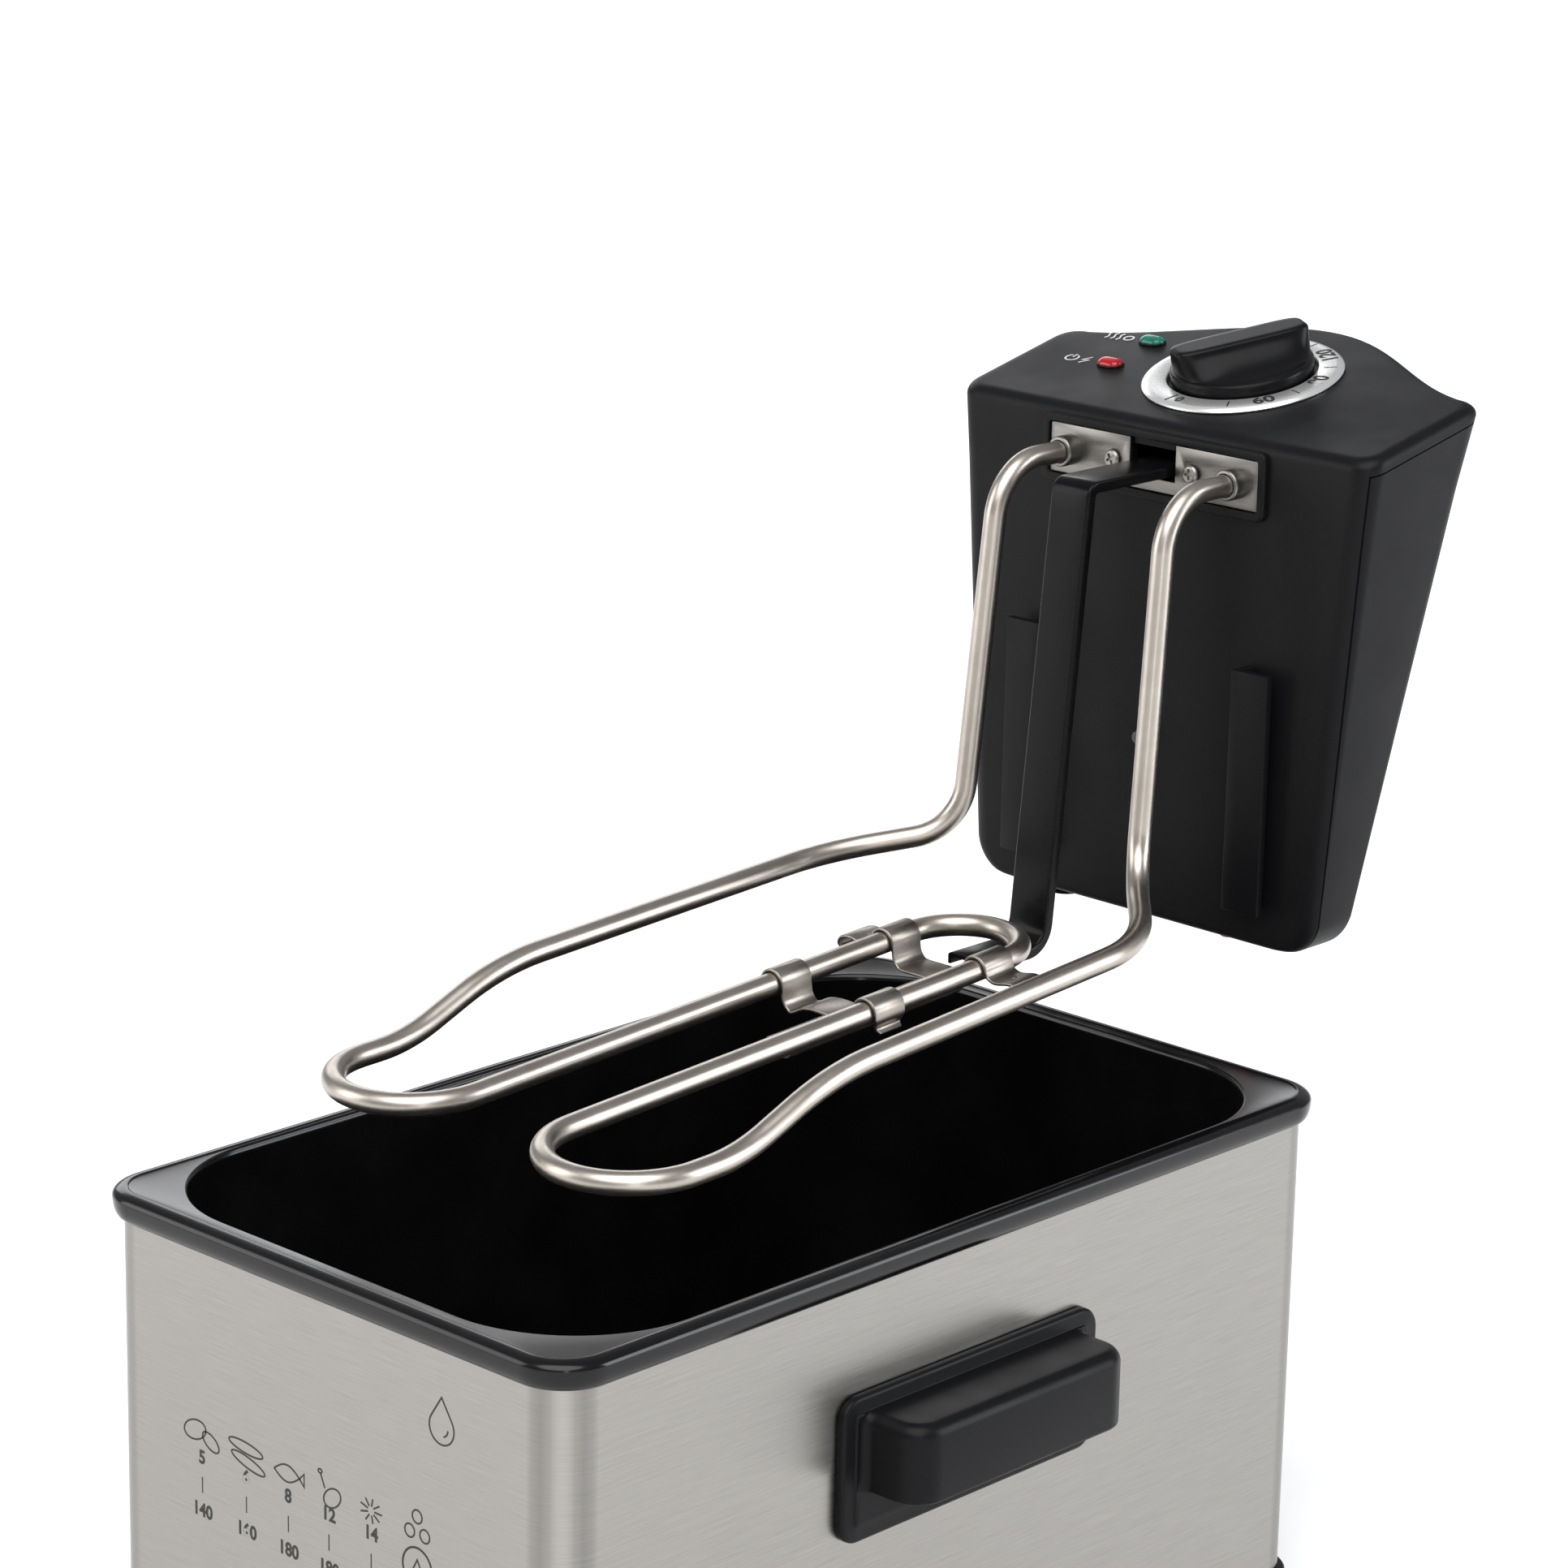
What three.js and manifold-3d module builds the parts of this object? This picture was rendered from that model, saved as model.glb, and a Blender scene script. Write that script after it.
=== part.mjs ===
// Deep fryer: a brushed casing with a lift-out oil pan, and a control unit that hangs the heating
// element in the pan and slides on a guide behind the casing. It stands lifted clear of the pan.
// Millimetres. +X right, -Y front, +Y towards the control unit, +Z up, Z = 0 on the table.
import * as THREE from "three";
import { mergeVertices } from "three/addons/utils/BufferGeometryUtils.js";
import Module from "manifold-3d";

const wasm = await Module();
wasm.setup();

// Driving dimensions.
const gap = 0.3; // air left between pieces that touch
const rimWidth = 200;
const rimLength = 333.6;
const rimHeight = 8.6; // depth of the rolled edge
const rimRoll = 4.5; // width of the rolled edge
const rimSheet = 1.5;
const rimOverhang = 3.5; // rim past the casing, each side
const casingCorner = 14;
const casingHeight = 152;
const casingWall = 1;
const lipHeight = 7;
const lipOverhang = 2.5;
const footHeight = 8.3;
const footRadius = 11;
const panLandSide = 6.5; // rim edge to the opening, long sides
const panLandEnd = 9.3; // rim edge to the opening, short sides
const panCorner = 44;
const panWall = 1.2;
const panLift = 8; // space between the pan and the base
const panDraftSide = 6;
const panDraftEnd = 1.5;
const panFloorRound = 14;
const handleLength = 111;
const handleHeight = 45;
const handlePlate = 3.5;
const gripLength = 94;
const gripHeight = 24;
const gripReach = 21;
const gripRound = 10; // outer corners of the grip seen from above
const gripWall = 4;
const handleDrop = 63.5; // rim top to the middle of the handle plate
const tubeRadius = 3.6;
const uprightStandoff = 36.3; // housing face to the uprights where they pass the rim
const uprightLean = 10.2; // how far the uprights come forward on their way down
const uprightSplay = 2.6; // and outward
const tubeSpread = 34.2; // tube ports, each side of the middle
const rodOuter = 69.5;
const rodInner = 19.5;
const rodReach = 301; // housing face to the far end of the loops
const rodBack = 69; // housing face to the back of the inner bend
const rodLevel = 9; // back of the inner rods above the housing's bottom
const rodDip = 11.5; // how much lower the far end of the loops is
const rodRaised = 22; // rear of the outer rods above the housing's bottom
const wallClearance = 1.2; // upright tubes to the pan wall
const panClearance = 10; // lowest rod to the pan floor
const housingHeight = 163; // front face
const housingTopWidth = 172;
const housingBottomWidth = 142;
const housingTopDepth = 56;
const housingBottomDepth = 19;
const housingBulge = 32;
const housingSlope = 12.5; // degrees that the top rises towards the back
const housingWall = 2.5;
const housingCorner = 12;
const seamDrop = 5;
const plateMargin = 8.4; // plate past the tube ports, each end
const plateHeight = 16.2;
const plateBridge = 4.2; // plate left under the guard's window
const plateSheet = 1.2;
const collarRadius = 5;
const collarLength = 6;
const windowMargin = 1.6; // window past the guard, each side
const bezelWidth = 2.8;
const bezelDepth = 2.2;
const portDrop = 13.7; // top of the front face to the tube ports
const dialOffset = 43; // housing face to the knob's axis
const dialRadius = 33;
const dialGap = 1.2; // knob to the ring's inner edge
const dialHeight = 1.6;
const knobRadius = 23.4;
const knobSkirt = 6;
const gripBarInset = 0.4; // grip bar's ends to the knob's edge
const gripBarWidth = 13;
const gripBarHeight = 13.5;
const knobTurn = 61; // degrees that the grip bar stands at from +X
const shaftRadius = 3;
const lampGap = 15; // dial ring to the lamps
const lampSpacing = 21.8;
const lampOffset = 33.7;
const railCentre = 47;
const railWidth = 14.5;
const railDepth = 7;
const railLip = 3;
const railWeb = 4;
const railLow = 12;
const railHigh = 91;
const guideSheet = 3;
const strapWidth = 15.5;
const strapSheet = 1.2;
const strapFlange = 3.6;
const clipWidth = 13;
const clipSheet = 1;
const clipSaddle = 7.4; // rod axis down to the saddle between the rods
const clipInset = 27; // back of the inner bend to the rear clip
const clipSpacing = 50;
const bulbRadius = 2.7;
const bulbLength = 78;
const bulbAir = 0.4; // each bulb to the middle plane
const capillaryRadius = 0.8;
const plungerRadius = 2.2;
const plungerReach = 4;
const plungerHeight = 60;
const buttonTravel = 1.5;
const liftAtRest = 165.5; // how far the control unit is lifted out

// Sizes worked out from them.
const lipTop = footHeight + lipHeight;
const rimBottom = lipTop + casingHeight;
const rimTop = rimBottom + rimHeight;
const casingWidth = rimWidth - 2 * rimOverhang;
const casingLength = rimLength - 2 * rimOverhang;
const casingBack = casingLength / 2;
const panWidth = rimWidth - 2 * panLandSide;
const panLength = rimLength - 2 * panLandEnd;
const panFloor = lipTop + panLift + panWall;
const uprightY = panLength / 2 - wallClearance - tubeRadius;
const faceY = uprightY + uprightStandoff;
const seatZ = panFloor + panClearance + tubeRadius + rodDip - rodLevel;
const unitZ = seatZ + liftAtRest;
const portHeight = housingHeight - portDrop;
const slope = THREE.MathUtils.degToRad(housingSlope);
const housingBack = housingTopDepth + housingBulge;
const plateOuter = tubeSpread + plateMargin;
const windowHalf = strapWidth / 2 + windowMargin;
const dialInner = knobRadius + dialGap;
const gripBarLength = 2 * (knobRadius - gripBarInset);
const lampX = -dialRadius - lampGap;
const bulbX = bulbRadius + bulbAir;
const handleZ = rimTop - handleDrop;

// Shape helpers.
function finish(color, roughness, metalness) {
  return new THREE.MeshStandardMaterial({ color, roughness, metalness });
}

function solidFrom(geometry) {
  const bare = geometry.clone();
  bare.deleteAttribute("normal");
  bare.deleteAttribute("uv");
  const merged = mergeVertices(bare, 1e-4);
  const vertProperties = new Float32Array(merged.attributes.position.array);
  const triVerts = new Uint32Array(merged.index.array);
  return new wasm.Manifold(new wasm.Mesh({ numProp: 3, vertProperties, triVerts }));
}

function geometryFrom(solid) {
  const mesh = solid.getMesh();
  const geometry = new THREE.BufferGeometry();
  geometry.setAttribute("position", new THREE.BufferAttribute(mesh.vertProperties, 3));
  geometry.setIndex(new THREE.BufferAttribute(mesh.triVerts, 1));
  geometry.computeVertexNormals();
  return geometry;
}

const join = (first, ...rest) => rest.reduce((sum, next) => sum.add(next), first);
const cut = (first, ...rest) => rest.reduce((left, next) => left.subtract(next), first);

function piece(name, shape, material) {
  const geometry = shape.isBufferGeometry ? shape : geometryFrom(shape);
  const mesh = new THREE.Mesh(geometry, material);
  mesh.name = name;
  return mesh;
}

// A box given by its low and high corners.
function block(low, high) {
  const size = high.map((value, axis) => value - low[axis]);
  const centre = high.map((value, axis) => (value + low[axis]) / 2);
  return solidFrom(new THREE.BoxGeometry(...size).translate(...centre));
}

// A round bar along Z from one height to another.
function bar(x, y, low, high, radius, sides = 16) {
  const geometry = new THREE.CylinderGeometry(radius, radius, high - low, sides);
  return solidFrom(geometry.rotateX(Math.PI / 2).translate(x, y, (low + high) / 2));
}

// A round bar along Y.
function barAlongY(x, z, low, high, radius, sides = 16) {
  const geometry = new THREE.CylinderGeometry(radius, radius, high - low, sides);
  return solidFrom(geometry.translate(x, (low + high) / 2, z));
}

// A round bar along X.
function barAlongX(y, z, low, high, radius, sides = 16) {
  const geometry = new THREE.CylinderGeometry(radius, radius, high - low, sides);
  return solidFrom(geometry.rotateZ(Math.PI / 2).translate((low + high) / 2, y, z));
}

function roundedRectangle(width, length, radius) {
  const x = width / 2;
  const y = length / 2;
  const shape = new THREE.Shape();
  shape.moveTo(-x + radius, -y);
  shape.lineTo(x - radius, -y);
  shape.absarc(x - radius, -y + radius, radius, -Math.PI / 2, 0);
  shape.lineTo(x, y - radius);
  shape.absarc(x - radius, y - radius, radius, 0, Math.PI / 2);
  shape.lineTo(-x + radius, y);
  shape.absarc(-x + radius, y - radius, radius, Math.PI / 2, Math.PI);
  shape.lineTo(-x, -y + radius);
  shape.absarc(-x + radius, -y + radius, radius, Math.PI, 1.5 * Math.PI);
  return shape;
}

// An upright prism of an outline, with its edges rounded over by bevel.
function slab(shape, low, high, bevel = 0, curveSegments = 4, bevelSegments = 1) {
  const options = {
    depth: high - low - 2 * bevel,
    curveSegments,
    bevelEnabled: bevel > 0,
    bevelSize: bevel,
    bevelThickness: bevel,
    bevelOffset: -bevel,
    bevelSegments,
  };
  return solidFrom(new THREE.ExtrudeGeometry(shape, options).translate(0, 0, low + bevel));
}

// A prism along X of an outline drawn in Y and Z.
function slabAlongX(shape, low, high, bevel = 0, curveSegments = 4, bevelSegments = 1) {
  const options = {
    depth: high - low - 2 * bevel,
    curveSegments,
    bevelEnabled: bevel > 0,
    bevelSize: bevel,
    bevelThickness: bevel,
    bevelOffset: -bevel,
    bevelSegments,
  };
  const geometry = new THREE.ExtrudeGeometry(shape, options).translate(0, 0, low + bevel);
  return solidFrom(geometry.rotateY(Math.PI / 2).rotateX(Math.PI / 2));
}

// A prism along Y, from low to high, of an outline drawn in X and Z.
function slabAlongY(shape, low, high) {
  const options = { depth: high - low, curveSegments: 5, bevelEnabled: false };
  return solidFrom(new THREE.ExtrudeGeometry(shape, options).rotateX(Math.PI / 2).translate(0, high, 0));
}

const outlineOf = (points) => new THREE.Shape(points.map(([u, v]) => new THREE.Vector2(u, v)));

// The outline of a thin strip bent along a line of points.
function stripOutline(points, sheet) {
  const line = points.map(([u, v]) => new THREE.Vector2(u, v));
  const sides = [[], []];
  line.forEach((point, i) => {
    const before = line[Math.max(i - 1, 0)];
    const after = line[Math.min(i + 1, line.length - 1)];
    const inward = point.clone().sub(i ? before : point);
    const outward = after.clone().sub(point);
    const first = (i ? inward : outward).clone().normalize();
    const second = (i < line.length - 1 ? outward : inward).clone().normalize();
    const along = first.clone().add(second).normalize();
    const across = new THREE.Vector2(-along.y, along.x);
    const reach = sheet / 2 / Math.max(across.dot(new THREE.Vector2(-first.y, first.x)), 0.5);
    sides[0].push(point.clone().addScaledVector(across, reach));
    sides[1].unshift(point.clone().addScaledVector(across, -reach));
  });
  return new THREE.Shape([...sides[0], ...sides[1]]);
}

// A path of straight stretches with rounded corners. Each point is [x, y, z, corner radius].
function bentPath(points) {
  const path = new THREE.CurvePath();
  const at = (i) => new THREE.Vector3(...points[i].slice(0, 3));
  let from = at(0);
  for (let i = 1; i < points.length - 1; i += 1) {
    const corner = at(i);
    const toward = corner.clone().sub(at(i - 1)).normalize();
    const onward = at(i + 1).sub(corner).normalize();
    const bend = toward.angleTo(onward);
    const trim = points[i][3] * Math.tan(bend / 2);
    const start = corner.clone().addScaledVector(toward, -trim);
    const end = corner.clone().addScaledVector(onward, trim);
    if (from.distanceTo(start) > 1e-3) path.add(new THREE.LineCurve3(from, start));
    const pull = (4 / 3) * Math.tan(bend / 4) * points[i][3];
    const firstPull = start.clone().addScaledVector(toward, pull);
    const lastPull = end.clone().addScaledVector(onward, -pull);
    path.add(new THREE.CubicBezierCurve3(start, firstPull, lastPull, end));
    from = end;
  }
  path.add(new THREE.LineCurve3(from, at(points.length - 1)));
  return path;
}

function tube(points, radius, sides, stepLength) {
  const path = bentPath(points);
  const ring = Array.from({ length: sides }, (_, i) => {
    const angle = (2 * Math.PI * i) / sides;
    return new THREE.Vector2(radius * Math.cos(angle), radius * Math.sin(angle));
  });
  const steps = Math.round(path.getLength() / stepLength);
  return solidFrom(new THREE.ExtrudeGeometry(new THREE.Shape(ring), { steps, extrudePath: path }));
}

const mirrored = (points) => points.map(([x, ...rest]) => [-x, ...rest]);

// A turned piece from [radius, height] pairs that start and end on the axis.
function turned(profile, sides) {
  const points = profile.map(([radius, height]) => new THREE.Vector2(radius, height));
  return solidFrom(new THREE.LatheGeometry(points, sides).rotateX(Math.PI / 2));
}

// A pan-head screw along Z: its head stands on Z = 0 and its shank runs down.
function screw(shank, length, head, headHeight) {
  const top = head * 0.8;
  return turned([
    [0, -length], [shank, -length], [shank, 0], [head, 0], [top, headHeight], [0, headHeight],
  ], 10);
}

const steel = () => finish("#b9b7b0", 0.32, 0.9);
const nickel = () => finish("#b8ae9f", 0.3, 0.95);
const zinc = () => finish("#a8a6a0", 0.4, 0.9);
const enamel = () => finish("#0c0d0e", 0.15, 0.1);
const plastic = () => finish("#17181a", 0.5, 0);
const rubber = () => finish("#1b1b1b", 0.9, 0);
const brass = () => finish("#b59a55", 0.35, 0.9);
const wireSkin = (color) => finish(color, 0.6, 0);

// Casing, base and feet.
function makeCasing() {
  const outline = roundedRectangle(casingWidth, casingLength, casingCorner);
  const outer = slab(outline, lipTop + gap, rimBottom - gap);
  const innerWidth = casingWidth - 2 * casingWall;
  const innerLength = casingLength - 2 * casingWall;
  const inner = slab(
    roundedRectangle(innerWidth, innerLength, casingCorner - casingWall), lipTop + gap + casingWall, rimTop,
  );
  const mouth = slab(roundedRectangle(innerWidth - 16, innerLength - 16, casingCorner - 6), 0, rimTop);
  const holes = [];
  for (const side of [-1, 1]) {
    for (const end of [-1, 1]) {
      const low = side > 0 ? casingWidth / 2 - 3 : -casingWidth / 2 - 3;
      holes.push(barAlongX(end * handleScrewY, handleZ, low, low + 6, screwHole, 10));
      holes.push(bar(side * baseScrewX, end * baseScrewY, lipTop - 2, lipTop + 4, screwHole, 10));
    }
    holes.push(barAlongY(side * guideScrewX, guideScrewZ, casingBack - 3, casingBack + 3, screwHole, 10));
  }
  return cut(outer, inner, mouth, ...holes);
}

const screwShank = 1.7;
const screwHole = screwShank + gap;
const screwHead = 3.4;
const screwHeadHeight = 1.5;
const handleScrewY = handleLength / 2 - 9;
const baseScrewX = casingWidth / 2 - casingWall - 5;
const baseScrewY = casingLength / 2 - 60;
const guideHalf = railCentre + railWidth / 2 + 7; // half the guide's width
const guideLow = seatZ + railLow - gap; // shelf that the rails land on
const guideHigh = guideLow + 72;
const guideScrewX = 25;
const guideScrewZ = guideLow + 50;
const footX = casingWidth / 2 - 22;
const footY = casingLength / 2 - 24;

function makeBase() {
  const width = casingWidth + 2 * lipOverhang;
  const length = casingLength + 2 * lipOverhang;
  const tray = slab(roundedRectangle(width, length, casingCorner + lipOverhang), footHeight, lipTop, 1);
  const hollowWidth = casingWidth - 34;
  const hollowLength = casingLength - 34;
  const hollow = slab(roundedRectangle(hollowWidth, hollowLength, 8), footHeight + 2.5, lipTop + 1);
  const holes = [];
  for (const side of [-1, 1]) {
    for (const end of [-1, 1]) {
      holes.push(bar(side * baseScrewX, end * baseScrewY, 0, lipTop + 1, screwHole, 10));
      holes.push(bar(side * baseScrewX, end * baseScrewY, 0, footHeight + 2.5, screwHead + gap, 12));
      holes.push(bar(side * footX, end * footY, 0, footHeight + 4, footPin + gap, 12));
    }
  }
  return cut(tray, hollow, ...holes);
}

const footPin = 3.5;

function makeFoot() {
  const top = footHeight - gap;
  const edge = 1.5;
  return turned([
    [0, 0], [footRadius - edge, 0], [footRadius, edge], [footRadius, top],
    [footPin, top], [footPin, top + 3], [0, top + 3],
  ], 20);
}

// Side handle for the +X face: a plate with a grip that is hollow from below.
function makeHandle() {
  const inside = casingWidth / 2 + gap;
  const plate = slabAlongX(roundedRectangle(handleLength, handleHeight, 7), inside, inside + handlePlate, 1);
  const gripLow = handleHeight / 2 - 5 - gripHeight;
  const gripEnd = inside + handlePlate + gripReach;
  const start = inside + handlePlate / 2;
  const side = gripLength / 2;
  const gripShape = new THREE.Shape();
  gripShape.moveTo(start, -side);
  gripShape.lineTo(gripEnd - gripRound, -side);
  gripShape.absarc(gripEnd - gripRound, gripRound - side, gripRound, -Math.PI / 2, 0);
  gripShape.lineTo(gripEnd, side - gripRound);
  gripShape.absarc(gripEnd - gripRound, side - gripRound, gripRound, 0, Math.PI / 2);
  gripShape.lineTo(start, side);
  const grip = slab(gripShape, gripLow, gripLow + gripHeight, 1.5, 5, 1);
  const hollow = block(
    [inside + handlePlate, -gripLength / 2 + 2 * gripWall, -handleHeight],
    [gripEnd - gripWall, gripLength / 2 - 2 * gripWall, gripLow + gripHeight - gripWall],
  );
  const screws = [-1, 1].map((end) => {
    return barAlongX(end * handleScrewY, 0, inside - 1, inside + handlePlate - 0.8, screwHole, 10);
  });
  return cut(join(plate, grip), hollow, ...screws);
}

// Guide behind the casing: a channel with inward lips, a shelf and a rib for the interlock.
function makeGuide() {
  const back = casingBack + gap;
  const lipBack = faceY - 0.8;
  const lipFront = lipBack - 2.4;
  const half = guideHalf;
  const lipReach = railCentre - railWidth / 2 + railWeb + 1.2;
  const channel = outlineOf([
    [-half, back], [half, back], [half, lipBack], [lipReach, lipBack], [lipReach, lipFront],
    [half - guideSheet, lipFront], [half - guideSheet, back + guideSheet],
    [guideSheet - half, back + guideSheet],
    [guideSheet - half, lipFront], [-lipReach, lipFront], [-lipReach, lipBack], [-half, lipBack],
  ]);
  const walls = slab(channel, guideLow, guideHigh);
  const shelf = block([-half, back, guideLow - guideSheet], [half, lipBack, guideLow]);
  const ribZ = seatZ + plungerHeight;
  const ribEnd = faceY - plungerReach - gap;
  const rib = block([-guideSheet, back, ribZ - 7], [guideSheet, ribEnd, ribZ + 7]);
  const holes = [-1, 1].map((side) => {
    return barAlongY(side * guideScrewX, guideScrewZ, back - 1, back + 5, screwHole, 10);
  });
  return cut(join(walls, shelf, rib), ...holes);
}

// Oil pan: a drafted tub under a rim with a rolled edge.
function draftTub(inset, low) {
  const width = panWidth + 2 * inset;
  const length = panLength + 2 * inset;
  const top = rimTop + 30;
  const shape = roundedRectangle(width, length, panCorner + inset);
  const round = panFloorRound + inset;
  const options = {
    depth: top - low - 2 * round,
    curveSegments: 6,
    bevelSize: round,
    bevelThickness: round,
    bevelOffset: -round,
    bevelSegments: 3,
  };
  const geometry = new THREE.ExtrudeGeometry(shape, options).translate(0, 0, low + round);
  const place = geometry.attributes.position;
  for (let i = 0; i < place.count; i += 1) {
    const down = THREE.MathUtils.clamp((rimTop - place.getZ(i)) / (rimTop - panFloor), 0, 1);
    place.setX(i, place.getX(i) * (1 - (down * 2 * panDraftSide) / width));
    place.setY(i, place.getY(i) * (1 - (down * 2 * panDraftEnd) / length));
  }
  return solidFrom(geometry);
}

function makePan() {
  const rimCorner = casingCorner + rimOverhang;
  const edge = slab(roundedRectangle(rimWidth, rimLength, rimCorner), rimBottom, rimTop, 2.6, 5, 2);
  const pocketWidth = rimWidth - 2 * rimRoll;
  const pocketLength = rimLength - 2 * rimRoll;
  const pocket = slab(
    roundedRectangle(pocketWidth, pocketLength, rimCorner - rimRoll), rimBottom - 1, rimTop - rimSheet,
  );
  const lid = block([-rimWidth, -rimLength, rimTop - 0.5], [rimWidth, rimLength, rimTop + 60]);
  const tub = cut(draftTub(panWall, panFloor - panWall), lid);
  return cut(join(cut(edge, pocket), tub), draftTub(0, panFloor));
}

// Control unit, in its own frame: Y = 0 on the housing's front face, Z = 0 on its bottom.
// The housing narrows downwards and towards the front face, and its top rises towards the back.
const shoulder = housingHeight + housingTopDepth * Math.tan(slope); // height of the top's rear corners
const depthShare = (z) => THREE.MathUtils.lerp(housingBottomDepth / housingTopDepth, 1, z / shoulder);
const bulgeHalf = housingTopWidth / 2 + 2;
const backAt = (x) => housingTopDepth + (housingBulge / 2) * (1 + Math.cos((Math.PI * x) / bulgeHalf));

function housingBody(inset) {
  const half = housingTopWidth / 2 - inset;
  const corner = 8;
  const rear = [];
  const rearSteps = 16;
  for (let i = 0; i <= rearSteps; i += 1) {
    const x = (half - corner) * (1 - (2 * i) / rearSteps);
    rear.push(new THREE.Vector2(x, backAt(x) - inset));
  }
  const front = 8; // rounding of the front corners
  const shape = new THREE.Shape();
  shape.moveTo(-half + front, inset);
  shape.lineTo(half - front, inset);
  shape.absarc(half - front, inset + front, front, -Math.PI / 2, 0);
  shape.lineTo(half, rear[0].y - corner);
  shape.quadraticCurveTo(half, rear[0].y, rear[0].x, rear[0].y);
  for (const point of rear.slice(1)) shape.lineTo(point.x, point.y);
  shape.quadraticCurveTo(-half, rear[0].y, -half, rear[0].y - corner);
  shape.lineTo(-half, inset + front);
  shape.absarc(-half + front, inset + front, front, Math.PI, 1.5 * Math.PI);
  const low = inset;
  const high = housingHeight - inset / Math.cos(slope);
  const geometry = new THREE.ExtrudeGeometry(shape, { depth: 1, curveSegments: 3, bevelEnabled: false });
  const place = geometry.attributes.position;
  for (let i = 0; i < place.count; i += 1) {
    const x = place.getX(i);
    const y = place.getY(i);
    const z = place.getZ(i) > 0.5 ? high + y * Math.tan(slope) : low;
    const width = THREE.MathUtils.lerp(housingBottomWidth, housingTopWidth, z / shoulder);
    place.setZ(i, z);
    place.setX(i, x * ((width / 2 - inset) / half));
    place.setY(i, inset + (y - inset) * ((backAt(x) * depthShare(z) - 2 * inset) / (backAt(x) - 2 * inset)));
  }
  return solidFrom(geometry);
}

// The housing's bottom corners are rounded in the front view.
function bottomRound() {
  const half = housingBottomWidth / 2 + 1.5;
  const r = housingCorner;
  const flare = ((housingTopWidth - housingBottomWidth) / 2 / housingHeight) * (housingHeight + 60);
  const shape = new THREE.Shape();
  shape.moveTo(-half + r, 0);
  shape.lineTo(half - r, 0);
  shape.quadraticCurveTo(half, 0, half, r);
  shape.lineTo(half + flare, housingHeight + 60);
  shape.lineTo(-half - flare, housingHeight + 60);
  shape.lineTo(-half, r);
  shape.quadraticCurveTo(-half, 0, -half + r, 0);
  return slabAlongY(shape, -60, 160);
}

// The region of the front and top shell: an L seen from the side, grown by the given air.
function frontTopRegion(air) {
  const face = housingWall + air;
  const seamAt = (y) => housingHeight - seamDrop - air + y * Math.tan(slope);
  const far = housingBack + 20;
  const shape = outlineOf([
    [-5, -5], [face, -5], [face, seamAt(face)],
    [far, seamAt(far)], [far, seamAt(far) + 60], [-5, seamAt(far) + 60],
  ]);
  return slabAlongX(shape, -housingTopWidth, housingTopWidth);
}

const portRadius = tubeRadius + gap;
const plungerHole = plungerRadius + gap;
const buttonRadius = 3.4;
const buttonX = 30;
const bottomY = housingBottomDepth / 2 + 1;
const glandX = -40;
const glandRadius = 4.5;
const housingScrewX = housingBottomWidth / 2 - 17;
const onTop = new THREE.Matrix4()
  .makeTranslation(0, dialOffset, housingHeight + dialOffset * Math.tan(slope))
  .multiply(new THREE.Matrix4().makeRotationX(slope));

// A solid drawn on the sloping top, with Z = 0 on the surface, moved to the housing's frame.
const laidOnTop = (solid) => solid.transform(onTop.toArray());

function makeFrontTopShell() {
  const shell = cut(housingBody(0), housingBody(housingWall)).intersect(bottomRound());
  const inTop = [
    laidOnTop(bar(0, 0, -10, 10, shaftRadius + gap, 14)),
    laidOnTop(block([lampX - 3.5, lampNearY - 2.2, -10], [lampX + 3.5, lampNearY + 2.2, 10])),
    laidOnTop(block([lampX - 3.5, lampFarY - 2.2, -10], [lampX + 3.5, lampFarY + 2.2, 10])),
  ];
  const window = block([-windowHalf, -5, windowLow], [windowHalf, housingWall + 5, portHeight + 6]);
  const ports = [-1, 1].map((side) => barAlongY(side * tubeSpread, portHeight, -5, 10, portRadius, 14));
  const plateScrews = [-1, 1].map((side) => {
    return barAlongY(side * plateScrewX, portHeight, -5, 10, plateScrewShank + gap, 10);
  });
  const plunger = barAlongY(0, plungerHeight, -5, 10, plungerHole, 12);
  const faceAndTop = shell.intersect(frontTopRegion(0));
  const shellWithHoles = cut(faceAndTop, ...inTop, window, ...ports, ...plateScrews, plunger);
  const bosses = [-1, 1].map((side) => {
    const low = [side * housingScrewX - 4, housingWall - 0.5, housingWall + gap];
    const high = [side * housingScrewX + 4, bottomY + 4, housingWall + 12];
    return cut(block(low, high), bar(side * housingScrewX, bottomY, 0, housingWall + 9, screwHole, 10));
  });
  return join(shellWithHoles, ...bosses, ...[-1, 1].map(makeRail));
}

// A rail on the housing's face: a web with a lip that hooks behind the guide's lip.
function makeRail(side) {
  const near = side * (railCentre - railWidth / 2);
  const far = side * (railCentre + railWidth / 2);
  const web = side * (railCentre - railWidth / 2 + railWeb);
  const span = (a, b) => [Math.min(a, b), Math.max(a, b)];
  const [webLow, webHigh] = span(near, web);
  const [lipLow, lipHigh] = span(near, far);
  return join(
    block([webLow, -railDepth, railLow], [webHigh, housingWall / 2, railHigh]),
    block([lipLow, -railDepth, railLow], [lipHigh, -railDepth + railLip, railHigh]),
  );
}

const plateScrewX = 16.2;
const windowLow = portHeight - plateHeight / 2 + plateBridge;
const plateScrewShank = 1.5;
const lampNearY = (lampOffset - dialOffset) / Math.cos(slope);
const lampFarY = lampNearY + lampSpacing;

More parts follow.
